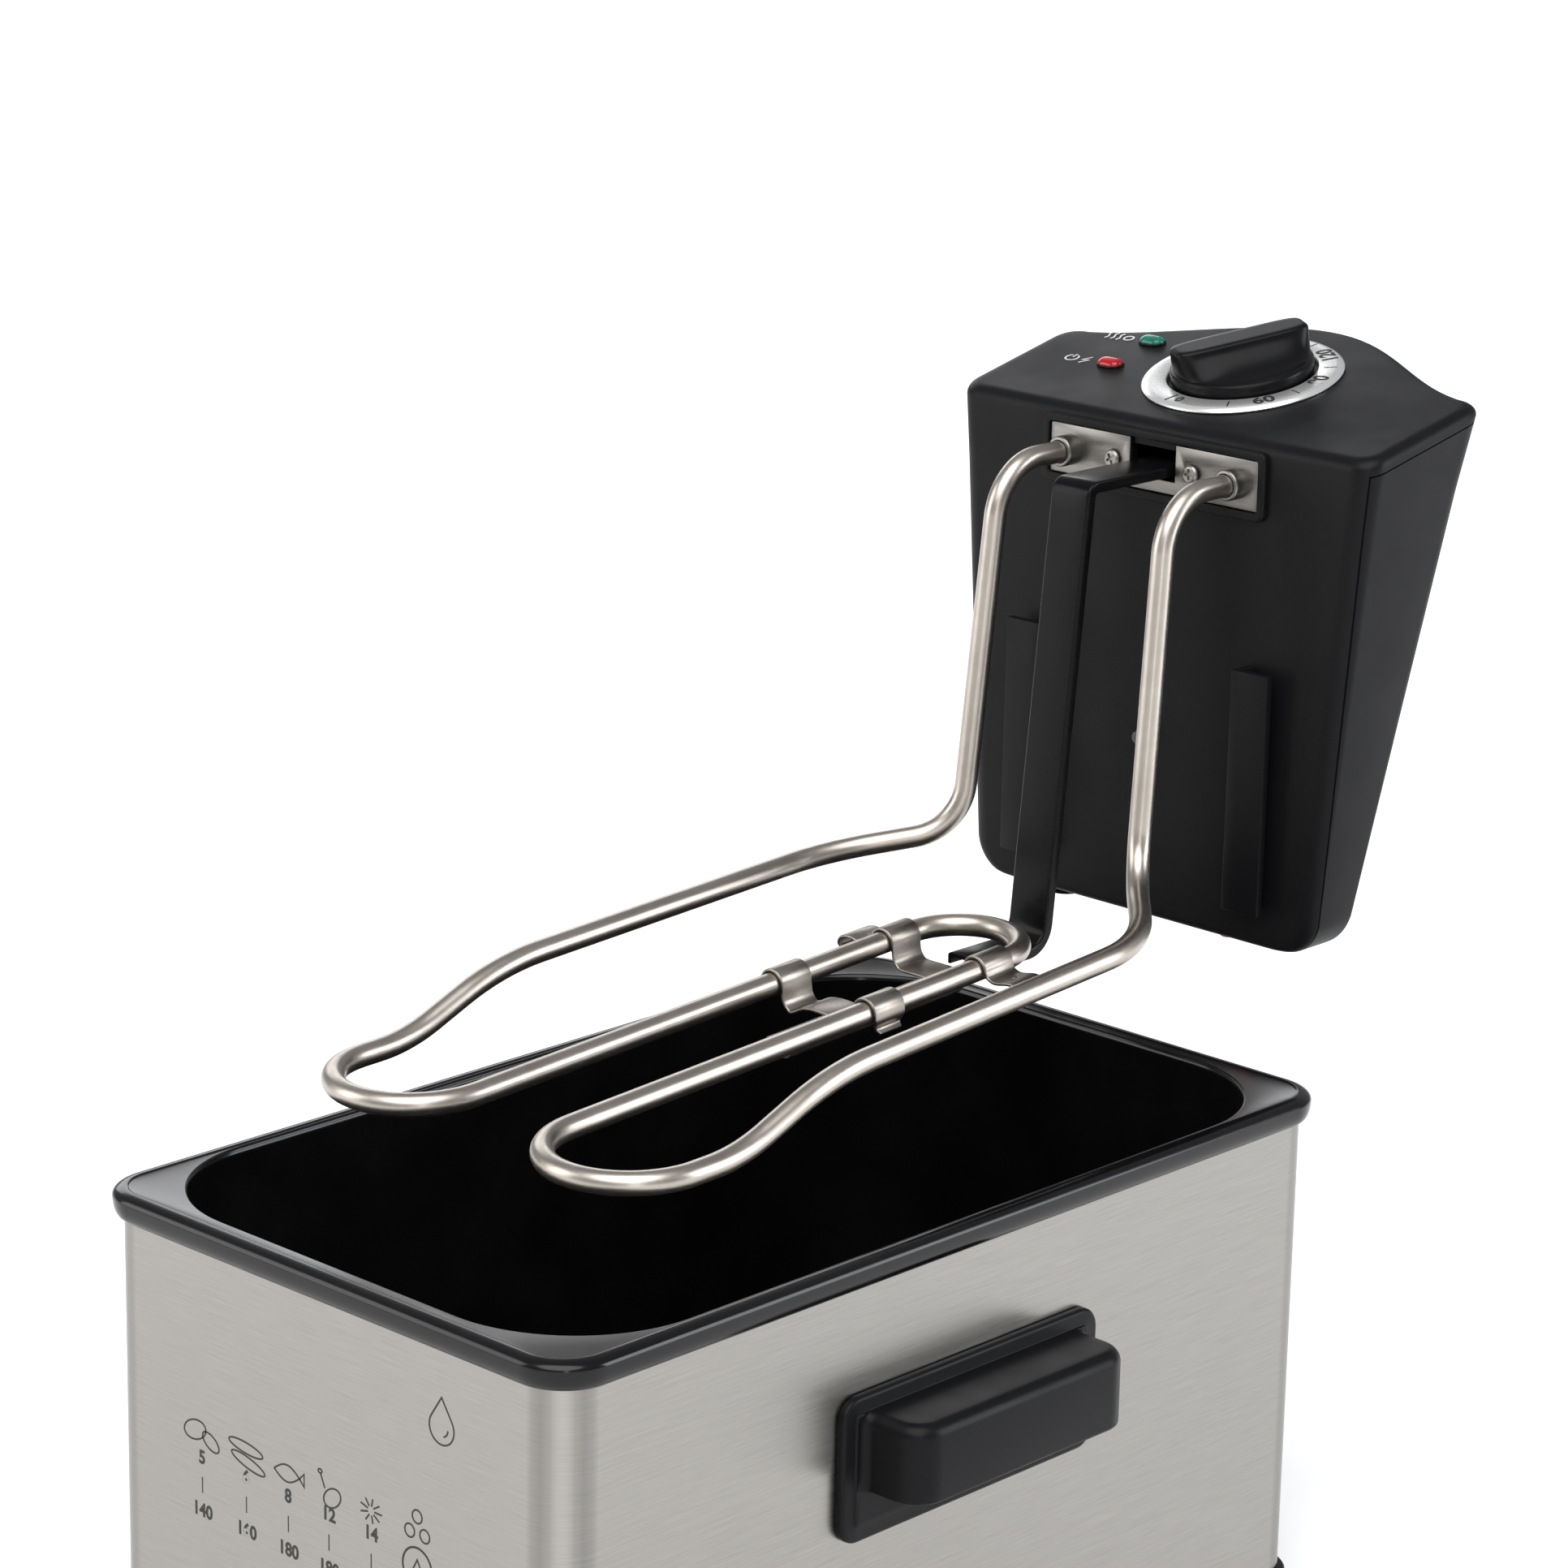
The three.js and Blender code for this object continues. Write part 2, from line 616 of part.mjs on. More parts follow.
function makeRearShell() {
  const shell = cut(housingBody(0), housingBody(housingWall)).intersect(bottomRound());
  const holes = [
    bar(buttonX, bottomY, -5, 8, buttonRadius + gap, 14),
    bar(glandX, bottomY, -5, 8, glandRadius + gap, 14),
    bar(-housingScrewX, bottomY, -5, 8, screwHole, 10),
    bar(housingScrewX, bottomY, -5, 8, screwHole, 10),
  ];
  return cut(shell, frontTopRegion(gap), ...holes);
}

function makeBezel() {
  const half = plateOuter + gap;
  const tall = plateHeight / 2 + gap;
  const frame = roundedRectangle(2 * (half + bezelWidth), 2 * (tall + bezelWidth), 3);
  const opening = roundedRectangle(2 * half, 2 * tall, 1);
  const flat = cut(slabAlongY(frame, -bezelDepth, -gap), slabAlongY(opening, -10, 10));
  return flat.translate([0, 0, portHeight]);
}

// One plate carries both collars. It is notched round the guard's window.
function makePlate() {
  const low = portHeight - plateHeight / 2;
  const sheet = block([-plateOuter, -plateSheet - gap, low], [plateOuter, -gap, low + plateHeight]);
  const notch = block([-windowHalf, -10, windowLow], [windowHalf, 10, low + plateHeight + 1]);
  const collars = [];
  const holes = [];
  for (const side of [-1, 1]) {
    const end = -plateSheet - gap - collarLength;
    collars.push(barAlongY(side * tubeSpread, portHeight, end, -plateSheet, collarRadius, 18));
    holes.push(barAlongY(side * tubeSpread, portHeight, end - 1, 10, portRadius, 14));
    holes.push(barAlongY(side * plateScrewX, portHeight, -10, 10, plateScrewShank + gap, 10));
  }
  return cut(join(cut(sheet, notch), ...collars), ...holes);
}

// One loop of tube: in through the right port, down, along the outer rod, round the front loop
// to the inner rod, round the back bend, and the same way back on the left.
function makeElement() {
  const foot = uprightStandoff + uprightLean;
  const low = rodLevel - rodDip;
  const right = [
    [tubeSpread, housingWall + 12, portHeight, 0],
    [tubeSpread, 0.8 - uprightStandoff, portHeight, 19],
    [tubeSpread + uprightSplay, -foot, rodRaised + 8, 20],
    [rodOuter - 2.5, -foot - 32.5, rodRaised, 45],
    [rodOuter, 81 - rodReach, rodRaised - 8, 100],
    [rodOuter, 43 - rodReach, low + 1, 60],
    [rodOuter, -rodReach, low, (rodOuter - rodInner) / 2],
    [rodInner, -rodReach, low, (rodOuter - rodInner) / 2],
    [rodInner, -rodBack, rodLevel, rodInner],
  ];
  return tube([...right, ...mirrored(right).reverse()], tubeRadius, 8, 9.5);
}

const strapTop = portHeight + 0.6;
const strapLow = rodLevel - tubeRadius - 2.9; // under the inner bend
const strapBend = 40.4; // housing face to the guard's upper bend
const strapFoot = rodBack - 14.5; // and to its lower bend
const strapEnd = rodBack + 15;
const strapPath = [
  [housingWall + 5, strapTop], [3.5 - strapBend, strapTop], [-0.6 - strapBend, strapTop - 4.2],
  [-strapFoot, strapLow + 9], [-2 - strapFoot, strapLow + 3.4],
  [-5.5 - strapFoot, strapLow], [-strapEnd, strapLow],
];

// Guard for the capillaries: a channel that runs down behind the inner bend and under it.
function makeStrap() {
  const web = slabAlongX(stripOutline(strapPath, strapSheet), -strapWidth / 2, strapWidth / 2);
  const shift = (strapFlange - strapSheet) / 2;
  const middle = strapPath.map(([u, v], i) => {
    const before = strapPath[Math.max(i - 1, 0)];
    const after = strapPath[Math.min(i + 1, strapPath.length - 1)];
    const length = Math.hypot(after[0] - before[0], after[1] - before[1]);
    return [u - (shift * (after[1] - before[1])) / length, v + (shift * (after[0] - before[0])) / length];
  });
  const flange = stripOutline(middle, strapFlange);
  const low = slabAlongX(flange, -strapWidth / 2, -strapWidth / 2 + strapSheet);
  const high = slabAlongX(flange, strapWidth / 2 - strapSheet, strapWidth / 2);
  return join(web, low, high);
}

// A formed strip over the two inner rods, with a saddle over the bulbs. The rear one has hooked
// flanges, and the middle one closes round the rods.
function makeClip(hump, hooked) {
  const wrap = tubeRadius + gap + clipSheet / 2;
  const saddle = -clipSaddle;
  const inner = rodInner - wrap;
  const outer = rodInner + wrap;
  const over = [];
  for (let i = 0; i <= 6; i += 1) {
    const angle = Math.PI * (1 - i / 6);
    over.push([rodInner + wrap * Math.cos(angle), wrap * Math.sin(angle)]);
  }
  const hook = [
    [outer + 1, -1.6], [outer + 4, -2.4], [outer + 10, -1.4],
    [outer + 14, -2.6], [outer + 15.5, -5.2], [outer + 13.5, -7],
  ];
  const lip = [[outer, -2.2], [outer - 1, -4.6], [outer + 0.4, -6.2]];
  const half = [
    [0, saddle + hump], [6, saddle + hump * 0.8], [inner - 4, saddle],
    [inner - 2, saddle + 0.6], [inner - 0.4, saddle + 3], ...over, ...(hooked ? hook : lip),
  ];
  const points = [...half.slice(1).reverse().map(([u, v]) => [-u, v]), ...half];
  return slabAlongY(stripOutline(points, clipSheet), -clipWidth / 2, clipWidth / 2);
}

const rodSlope = rodDip / (rodReach - rodBack);
const rodLevelAt = (y) => rodLevel + (y + rodBack) * rodSlope;
const clipBackY = -rodBack - clipInset;
const clipMiddleY = clipBackY - clipSpacing;
const bulbDrop = clipSaddle + clipSheet / 2 + gap + bulbRadius; // rod axis to the bulbs' axis
const bulbBack = clipBackY + 4;

// A sensing bulb under the inner rods, with its capillary up inside the guard to the given end.
function makeBulb(x, end) {
  const levelAt = (y) => rodLevelAt(y) - bulbDrop;
  const bulbFront = bulbBack - bulbLength;
  const ends = [[x, bulbFront, levelAt(bulbFront), 0], [x, bulbBack, levelAt(bulbBack), 0]];
  const bulb = tube(ends, bulbRadius, 12, bulbLength);
  const inside = 2.4; // middle of the guard's sheet to the middle of the capillary
  const path = [
    [x, bulbBack - 2, levelAt(bulbBack - 2), 0], [x, bulbBack + 6, levelAt(bulbBack + 6), 3],
    [x, 4 - strapEnd, strapLow - inside, 4],
    [x, -3.5 - strapFoot, strapLow - inside, 4], [x, inside + 0.8 - strapFoot, strapLow + 9, 4],
    [x, inside - strapBend, strapTop - inside - 0.8, 3], [x, housingWall + 3, strapTop - inside - 0.8, 3],
    [x, housingWall + 7, portHeight - 12, 3], [...end, 0],
  ];
  return join(bulb, tube(path, capillaryRadius, 6, 7));
}

function makeKnob() {
  const base = turned([
    [0, 0], [knobRadius, 0], [knobRadius, knobSkirt * 0.5], [knobRadius - 2.5, knobSkirt], [0, knobSkirt],
  ], 32);
  const grip = roundedRectangle(gripBarLength, gripBarWidth, gripBarWidth / 2 - 1);
  const raised = slab(grip, 0, gripBarHeight, 1.8, 4);
  const bore = bar(0, 0, -1, gripBarHeight - 6, shaftRadius + gap, 14);
  return cut(join(base, raised), bore).rotate([0, 0, knobTurn]);
}

function makeLens() {
  const dome = slab(roundedRectangle(10, 6.6, 3.2), gap, 2.2, 0.9, 3);
  const stem = block([-3.2, -1.9, -housingWall - 1], [3.2, 1.9, gap + 0.5]);
  return join(dome, stem);
}

const materials = { steel, nickel, zinc, enamel, plastic, rubber, brass };

function casingScrew(name, length) {
  return piece(name, screw(screwShank, length, screwHead, screwHeadHeight), materials.zinc());
}

const fryer = new THREE.Group();
const stand = new THREE.Group(); // puts the origin under the middle of the whole object
const backEdge = faceY + housingBack * depthShare(housingHeight + housingBack * Math.tan(slope));
stand.position.y = (rimLength / 2 - backEdge) / 2;
fryer.add(stand);

stand.add(piece("outer_casing", makeCasing(), materials.steel()));
stand.add(piece("base_tray", makeBase(), materials.plastic()));
stand.add(piece("rear_guide", makeGuide(), materials.plastic()));
stand.add(piece("oil_pan", makePan(), materials.enamel()));

// Four corners: feet and base screws.
for (const [side, sideName] of [[-1, "left"], [1, "right"]]) {
  for (const [end, endName] of [[-1, "front"], [1, "rear"]]) {
    const foot = piece(`foot_${endName}_${sideName}`, makeFoot(), materials.rubber());
    foot.position.set(side * footX, end * footY, 0);
    const tie = casingScrew(`base_screw_${endName}_${sideName}`, 8);
    tie.rotation.x = Math.PI;
    tie.position.set(side * baseScrewX, end * baseScrewY, footHeight + 2.5 - gap);
    stand.add(foot, tie);
    const handleScrew = casingScrew(`handle_screw_${endName}_${sideName}`, 3);
    handleScrew.rotation.y = (-side * Math.PI) / 2;
    handleScrew.position.set(side * (casingWidth / 2 - casingWall - gap), end * handleScrewY, handleZ);
    stand.add(handleScrew);
  }
  const handle = piece(`handle_${sideName}`, makeHandle(), materials.plastic());
  handle.rotation.z = side > 0 ? 0 : Math.PI;
  handle.position.z = handleZ;
  const guideScrew = casingScrew(`guide_screw_${sideName}`, 7);
  guideScrew.rotation.x = -Math.PI / 2;
  guideScrew.position.set(side * guideScrewX, casingBack + gap + guideSheet + gap, guideScrewZ);
  stand.add(handle, guideScrew);
}

// Control unit.
const unit = new THREE.Group();
unit.position.set(0, faceY, unitZ);
stand.add(unit);
unit.add(piece("front_top_shell", makeFrontTopShell(), materials.plastic()));
unit.add(piece("rear_shell", makeRearShell(), materials.plastic()));
unit.add(piece("element_bezel", makeBezel(), materials.plastic()));
unit.add(piece("heating_element", makeElement(), materials.nickel()));
unit.add(piece("sensor_guard", makeStrap(), finish("#101112", 0.35, 0.3)));
unit.add(piece("mounting_plate", makePlate(), materials.steel()));
for (const [side, sideName] of [[-1, "left"], [1, "right"]]) {
  const plateScrewSolid = screw(plateScrewShank, 7, 2.9, 1.3);
  const plateScrew = piece(`plate_screw_${sideName}`, plateScrewSolid, materials.nickel());
  plateScrew.rotation.x = Math.PI / 2;
  plateScrew.position.set(side * plateScrewX, -plateSheet - 2 * gap, portHeight);
  const housingScrew = casingScrew(`housing_screw_${sideName}`, 9);
  housingScrew.rotation.x = Math.PI;
  housingScrew.position.set(side * housingScrewX, bottomY, -gap);
  unit.add(plateScrew, housingScrew);
}
const clips = [["clip_rear", clipBackY, 0, true], ["clip_middle", clipMiddleY, 3, false]];
for (const [name, y, hump, hooked] of clips) {
  const clip = piece(name, makeClip(hump, hooked), materials.nickel());
  clip.position.set(0, y, rodLevelAt(y));
  clip.rotation.x = Math.atan(rodSlope);
  unit.add(clip);
}
unit.add(piece("thermostat_bulb", makeBulb(bulbX, [10, 24, 134]), materials.nickel()));
unit.add(piece("cutout_bulb", makeBulb(-bulbX, [-12, 14, 100]), materials.nickel()));

// Inside the housing.
const cutoutLow = 9;
const cutoutBox = block([buttonX - 11, bottomY - 5.5, cutoutLow], [buttonX + 11, bottomY + 5.5, 26]);
const cutoutBore = bar(buttonX, bottomY, 0, cutoutLow + buttonTravel + 2.5, 2.2, 12);
unit.add(piece("thermal_cutout", cut(cutoutBox, cutoutBore), finish("#c9b48b", 0.6, 0)));
const switchBox = block([-10, housingWall + 8.5, plungerHeight - 8], [10, housingWall + 15, plungerHeight + 3]);
unit.add(piece("interlock_switch", switchBox, finish("#26282b", 0.5, 0)));
unit.add(piece("terminal_block", block([30, 12, 96], [60, 24, 106]), finish("#d8d4c8", 0.5, 0)));

const gland = turned([
  [0, -3], [glandRadius + 2, -3], [glandRadius + 2, -gap], [glandRadius, -gap], [glandRadius, 8], [0, 8],
], 16).subtract(bar(0, 0, -5, 12, 2.8, 12));
const glandPiece = piece("cable_gland", gland, materials.rubber());
glandPiece.position.set(glandX, bottomY, 0);
unit.add(glandPiece);

const livePath = [
  [-41, bottomY, 4, 0], [-41, bottomY, 30, 4], [-20, 16, 60, 8], [20, 26, 90, 8], [34, 26.5, 101, 0],
];
const neutralPath = [
  [-39, bottomY, 4, 0], [-39, bottomY, 26, 4], [-16, 21, 52, 8], [26, 30, 84, 8], [42, 26.5, 101, 0],
];
const wires = [["wire_live", "#6b4a2f", livePath], ["wire_neutral", "#3a5fa0", neutralPath]];
for (const [name, color, path] of wires) {
  unit.add(piece(name, tube(path, 0.9, 6, 9), wireSkin(color)));
}
for (const [side, sideName] of [[-1, "left"], [1, "right"]]) {
  const start = [side * tubeSpread, housingWall + 12 + gap, portHeight, 0];
  const corner = [side * tubeSpread, 24, portHeight, 4];
  const path = [start, corner, [side * 44, 26, 128, 6], [side * 46, 22, 107, 0]];
  unit.add(piece(`element_lead_${sideName}`, tube(path, 1.1, 6, 7), wireSkin("#c9c4b8")));
}

// Pieces on the sloping top, in a group that is tilted with it.
const topGroup = new THREE.Group();
topGroup.position.set(0, dialOffset, housingHeight + dialOffset * Math.tan(slope));
topGroup.rotation.x = slope;
unit.add(topGroup);
const ring = turned([[0, 0], [dialRadius, 0], [dialRadius - 1, dialHeight], [0, dialHeight]], 40)
  .subtract(bar(0, 0, -1, 5, dialInner, 40));
const dial = piece("dial_ring", ring, finish("#cfcfcb", 0.3, 0.9));
dial.position.z = gap;
const knob = piece("knob", makeKnob(), materials.plastic());
knob.position.z = 1;
const shaftBar = bar(0, 0, -8, gripBarHeight - 6, shaftRadius, 14);
const shaft = piece("thermostat_shaft", shaftBar, materials.brass());
const thermostatBox = block([-18, -15, -31], [18, 15, -housingWall - 3]);
const thermostatBore = bar(0, 0, -8 - gap, 0, shaftRadius + gap, 14);
const thermostat = piece("thermostat_body", cut(thermostatBox, thermostatBore), finish("#d9cfb4", 0.6, 0));
topGroup.add(dial, knob, shaft, thermostat);
for (const [name, color, y] of [["green", "#1f9a6a", lampFarY], ["red", "#b3171d", lampNearY]]) {
  const lens = piece(`lamp_lens_${name}`, makeLens(), finish(color, 0.12, 0));
  lens.position.set(lampX, y, 0);
  const lamp = piece(`neon_lamp_${name}`, bar(0, 0, -9, 0, 2.6, 10), finish("#e8e0d0", 0.2, 0));
  lamp.position.set(lampX, y, -housingWall - 1 - gap);
  topGroup.add(lens, lamp);
}

// The two small pieces that travel.
const stemTop = cutoutLow + 2.2;
const buttonProfile = [
  [0, -3], [buttonRadius - 0.6, -3], [buttonRadius, -2.4], [buttonRadius, 5],
  [1.9, 5], [1.9, stemTop], [0, stemTop],
];
const button = piece("reset_button", turned(buttonProfile, 16), finish("#a8201c", 0.4, 0));
button.position.set(buttonX, bottomY, 0);
unit.add(button);
const plunger = join(
  barAlongY(0, plungerHeight, -plungerReach, housingWall + 6.5, plungerRadius, 14),
  barAlongY(0, plungerHeight, housingWall + gap, housingWall + 2, plungerRadius + 1.6, 14),
);
unit.add(piece("interlock_plunger", plunger, materials.plastic()));

export default fryer;
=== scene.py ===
from math import atan, atan2, cos, hypot, pi, radians, sin, sqrt, tan

import bmesh
import bpy
import numpy as np
from mathutils import Euler, Matrix, Vector


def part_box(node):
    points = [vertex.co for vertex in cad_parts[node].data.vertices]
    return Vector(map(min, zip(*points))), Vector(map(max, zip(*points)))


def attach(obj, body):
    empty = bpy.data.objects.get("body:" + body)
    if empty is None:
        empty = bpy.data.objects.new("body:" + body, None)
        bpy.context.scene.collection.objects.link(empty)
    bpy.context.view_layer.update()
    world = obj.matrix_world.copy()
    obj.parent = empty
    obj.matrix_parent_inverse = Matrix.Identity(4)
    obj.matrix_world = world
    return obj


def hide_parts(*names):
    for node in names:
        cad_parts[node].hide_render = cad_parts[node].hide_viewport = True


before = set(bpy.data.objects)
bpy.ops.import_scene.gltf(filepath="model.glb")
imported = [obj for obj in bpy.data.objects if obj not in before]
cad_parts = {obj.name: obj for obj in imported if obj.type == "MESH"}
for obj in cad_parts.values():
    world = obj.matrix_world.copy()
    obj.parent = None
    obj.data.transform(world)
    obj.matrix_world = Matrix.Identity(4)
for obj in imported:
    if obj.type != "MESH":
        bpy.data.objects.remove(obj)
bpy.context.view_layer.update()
millimetre = 0.001
print("frame loaded:", len(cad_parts), "nodes")

# Local frames, in millimetres: the stand's middle on the table, and the control unit's face and bottom.
rimLow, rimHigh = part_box("oil_pan")
standY = (rimLow.y + rimHigh.y) / 2 / millimetre
rimTop = rimHigh.z / millimetre
rimWidth = (rimHigh.x - rimLow.x) / millimetre
rimLength = (rimHigh.y - rimLow.y) / millimetre
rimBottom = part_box("outer_casing")[1].z / millimetre + 0.3
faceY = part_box("element_bezel")[1].y / millimetre + 0.3
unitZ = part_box("front_top_shell")[0].z / millimetre
standFrame = Matrix.Translation((0, standY, 0))
unitFrame = Matrix.Translation((0, faceY, unitZ))


# Mesh helpers. Points are in millimetres in a local frame, and end up in metres in the object's frame.
def loft(rings, loop=False):
    count = len(rings[0])
    points = [point for ring in rings for point in ring]
    faces = []
    for i in range(len(rings) if loop else len(rings) - 1):
        here = i * count
        there = (i + 1) % len(rings) * count
        for j in range(count):
            k = (j + 1) % count
            faces.append((here + j, here + k, there + k, there + j))
    if not loop:
        faces.append(tuple(reversed(range(count))))
        faces.append(tuple(range(len(points) - count, len(points))))
    return points, faces


def linked(name, data):
    piece = bpy.data.objects.new(name, data)
    bpy.context.scene.collection.objects.link(piece)
    return piece


def buildPiece(name, parts, place, finish, smoothAngle=32):
    points, faces = [], []
    for partPoints, partFaces in parts:
        first = len(points)
        points += [place @ Vector(point) * millimetre for point in partPoints]
        faces += [tuple(first + i for i in face) for face in partFaces]
    mesh = bpy.data.meshes.new(name)
    mesh.from_pydata(points, [], faces)
    shape = bmesh.new()
    shape.from_mesh(mesh)
    bmesh.ops.recalc_face_normals(shape, faces=shape.faces)
    shape.to_mesh(mesh)
    shape.free()
    piece = linked(name, mesh)
    if finish:
        mesh.materials.append(finish)
    smooth(piece, smoothAngle)
    return piece


def smooth(piece, angle=32):
    piece.data.shade_smooth()
    piece.data.set_sharp_from_angle(angle=radians(angle))


# Turns the modifiers' result into the piece's plain mesh.
def settle(piece):
    graph = bpy.context.evaluated_depsgraph_get()
    settled = bpy.data.meshes.new_from_object(piece.evaluated_get(graph))
    worn = piece.data
    piece.modifiers.clear()
    piece.data = settled
    bpy.data.meshes.remove(worn)
    settled.name = piece.name
    return piece


def combine(piece, tool, operation):
    modifier = piece.modifiers.new("combine", "BOOLEAN")
    modifier.operation = operation
    modifier.solver = "EXACT"
    modifier.object = tool
    settle(piece)
    bpy.data.objects.remove(tool)
    return piece


def cutAway(piece, parts, place):
    return combine(piece, buildPiece("cuts", parts, place, None), "DIFFERENCE")


def softenEdges(piece, width, segments=2, angle=40):
    modifier = piece.modifiers.new("soften", "BEVEL")
    modifier.width = width * millimetre
    modifier.segments = segments
    modifier.limit_method = "ANGLE"
    modifier.angle_limit = radians(angle)
    modifier.harden_normals = False
    settle(piece)
    smooth(piece)
    return piece


# A copy of a framed node's mesh, merged, flattened into whole faces and with its edges softened.
def refineNode(name, node, width, finish, segments=2):
    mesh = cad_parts[node].data.copy()
    piece = linked(name, mesh)
    shape = bmesh.new()
    shape.from_mesh(mesh)
    bmesh.ops.remove_doubles(shape, verts=shape.verts, dist=1e-6)
    bmesh.ops.dissolve_limit(shape, angle_limit=radians(1.5), verts=shape.verts, edges=shape.edges)
    shape.to_mesh(mesh)
    shape.free()
    mesh.materials.clear()
    mesh.materials.append(finish)
    softenEdges(piece, width, segments)
    return piece


def declare(piece, body, slotName, *nodes):
    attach(piece, body)
    if nodes:
        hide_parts(*nodes)
    return piece


def arc(centreX, centreY, radius, start, end, steps):
    turns = [start + (end - start) * i / steps for i in range(steps + 1)]
    return [(centreX + radius * cos(turn), centreY + radius * sin(turn)) for turn in turns]


# Shares (1 - sin, 1 - cos) along a quarter turn, from (1, 0) to (0, 1).
def quarterTurn(steps, first=0):
    turns = [pi / 2 * i / steps for i in range(first, steps + 1)]
    return [(1 - sin(turn), 1 - cos(turn)) for turn in turns]


# The outline of a rounded rectangle about the origin, anticlockwise.
def roundedOutline(width, length, radius, steps=10):
    x, y = width / 2 - radius, length / 2 - radius
    corners = ((x, -y, -pi / 2), (x, y, 0), (-x, y, pi / 2), (-x, -y, pi))
    return [point for cx, cy, turn in corners for point in arc(cx, cy, radius, turn, turn + pi / 2, steps)]


# Names of the four nodes that stand at the stand's corners.
def corners(stem):
    return [f"{stem}_{end}_{side}" for end in ("front", "rear") for side in ("left", "right")]


def lift(outline, height):
    return [(x, y, height) for x, y in outline]


# Rings of a turned piece from (radius, height) pairs.
def turnedRings(profile, sides, centre=(0, 0)):
    end = 2 * pi * (1 - 1 / sides)
    return [lift(arc(*centre, radius, 0, end, sides - 1), height) for radius, height in profile]


def block(low, high):
    corners = [(low[0], low[1]), (high[0], low[1]), (high[0], high[1]), (low[0], high[1])]
    return loft([lift(corners, low[2]), lift(corners, high[2])])


def alongY(part):
    return [(x, -z, y) for x, y, z in part[0]], part[1]


def alongX(part):
    return [(z, x, y) for x, y, z in part[0]], part[1]


def shifted(part, x=0, y=0, z=0):
    return [(px + x, py + y, pz + z) for px, py, pz in part[0]], part[1]


# The part as drawn for the right side, or its mirror image for the left.
def onSide(side, part):
    return part if side > 0 else ([(-x, y, z) for x, y, z in part[0]], part[1])


# The middle of a framed node's box, in X and Y.
def middleOf(node):
    low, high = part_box(node)
    return (low.x + high.x) / 2, (low.y + high.y) / 2


def rod(radius, low, high, sides=28, centre=(0, 0)):
    return loft(turnedRings([(radius, low), (radius, high)], sides, centre))


# A line of straight stretches with rounded corners. Each point ends with its corner radius.
def bentLine(points, straightStep, bendSteps):
    corners = [Vector(point[:-1]) for point in points]
    line = [corners[0]]
    for i in range(1, len(corners) - 1):
        toward = (corners[i] - corners[i - 1]).normalized()
        onward = (corners[i + 1] - corners[i]).normalized()
        bend = toward.angle(onward)
        radius = points[i][-1]
        trim = radius * tan(bend / 2)
        start, end = corners[i] - toward * trim, corners[i] + onward * trim
        pull = 4 / 3 * tan(bend / 4) * radius
        stretch(line, start, straightStep)
        controls = (start, start + toward * pull, end - onward * pull, end)
        for k in range(1, bendSteps + 1):
            t = k / bendSteps
            weights = ((1 - t) ** 3, 3 * t * (1 - t) ** 2, 3 * t * t * (1 - t), t ** 3)
            line.append(sum((c * w for c, w in zip(controls, weights)), Vector([0] * len(start))))
    stretch(line, corners[-1], straightStep)
    return line


def stretch(line, end, step):
    start = line[-1]
    length = (end - start).length
    if length < 1e-4:
        return
    pieces = max(1, round(length / step))
    line += [start.lerp(end, k / pieces) for k in range(1, pieces + 1)]


# Finishes. Each is a Principled surface whose colour, roughness and bump come from noise.
def newFinish(name, colour, roughness, metallic=0.0, specular=0.5, coat=0.0, coatRoughness=0.03):
    material = bpy.data.materials.new(name)
    material.use_nodes = True
    shader = material.node_tree.nodes["Principled BSDF"]
    shader.inputs["Base Color"].default_value = (*colour, 1)
    shader.inputs["Roughness"].default_value = roughness
    shader.inputs["Metallic"].default_value = metallic
    shader.inputs["Specular IOR Level"].default_value = specular
    shader.inputs["Coat Weight"].default_value = coat
    shader.inputs["Coat Roughness"].default_value = coatRoughness
    return material


def addNoise(material, stretchBy, detail=3.0, attribute=None):
    nodes, links = material.node_tree.nodes, material.node_tree.links
    mapping = nodes.new("ShaderNodeMapping")
    mapping.inputs["Scale"].default_value = stretchBy
    if attribute:
        source = nodes.new("ShaderNodeAttribute")
        source.attribute_name = attribute
        links.new(source.outputs["Vector"], mapping.inputs["Vector"])
    else:
        source = nodes.new("ShaderNodeTexCoord")
        links.new(source.outputs["Object"], mapping.inputs["Vector"])
    noise = nodes.new("ShaderNodeTexNoise")
    noise.inputs["Scale"].default_value = 1
    noise.inputs["Detail"].default_value = detail
    noise.inputs["Roughness"].default_value = 0.6
    links.new(mapping.outputs["Vector"], noise.inputs["Vector"])
    return noise


def shadeColour(material, noise, dark, light, start=0.3, end=0.7):
    nodes, links = material.node_tree.nodes, material.node_tree.links
    ramp = nodes.new("ShaderNodeValToRGB")
    ramp.color_ramp.elements[0].position, ramp.color_ramp.elements[1].position = start, end
    ramp.color_ramp.elements[0].color, ramp.color_ramp.elements[1].color = (*dark, 1), (*light, 1)
    links.new(noise.outputs["Fac"], ramp.inputs["Fac"])
    links.new(ramp.outputs["Color"], nodes["Principled BSDF"].inputs["Base Color"])


def shadeRoughness(material, noise, low, high):
    nodes, links = material.node_tree.nodes, material.node_tree.links
    spread = nodes.new("ShaderNodeMapRange")
    spread.inputs["From Min"].default_value, spread.inputs["From Max"].default_value = 0.3, 0.7
    spread.inputs["To Min"].default_value, spread.inputs["To Max"].default_value = low, high
    links.new(noise.outputs["Fac"], spread.inputs["Value"])
    links.new(spread.outputs["Result"], nodes["Principled BSDF"].inputs["Roughness"])


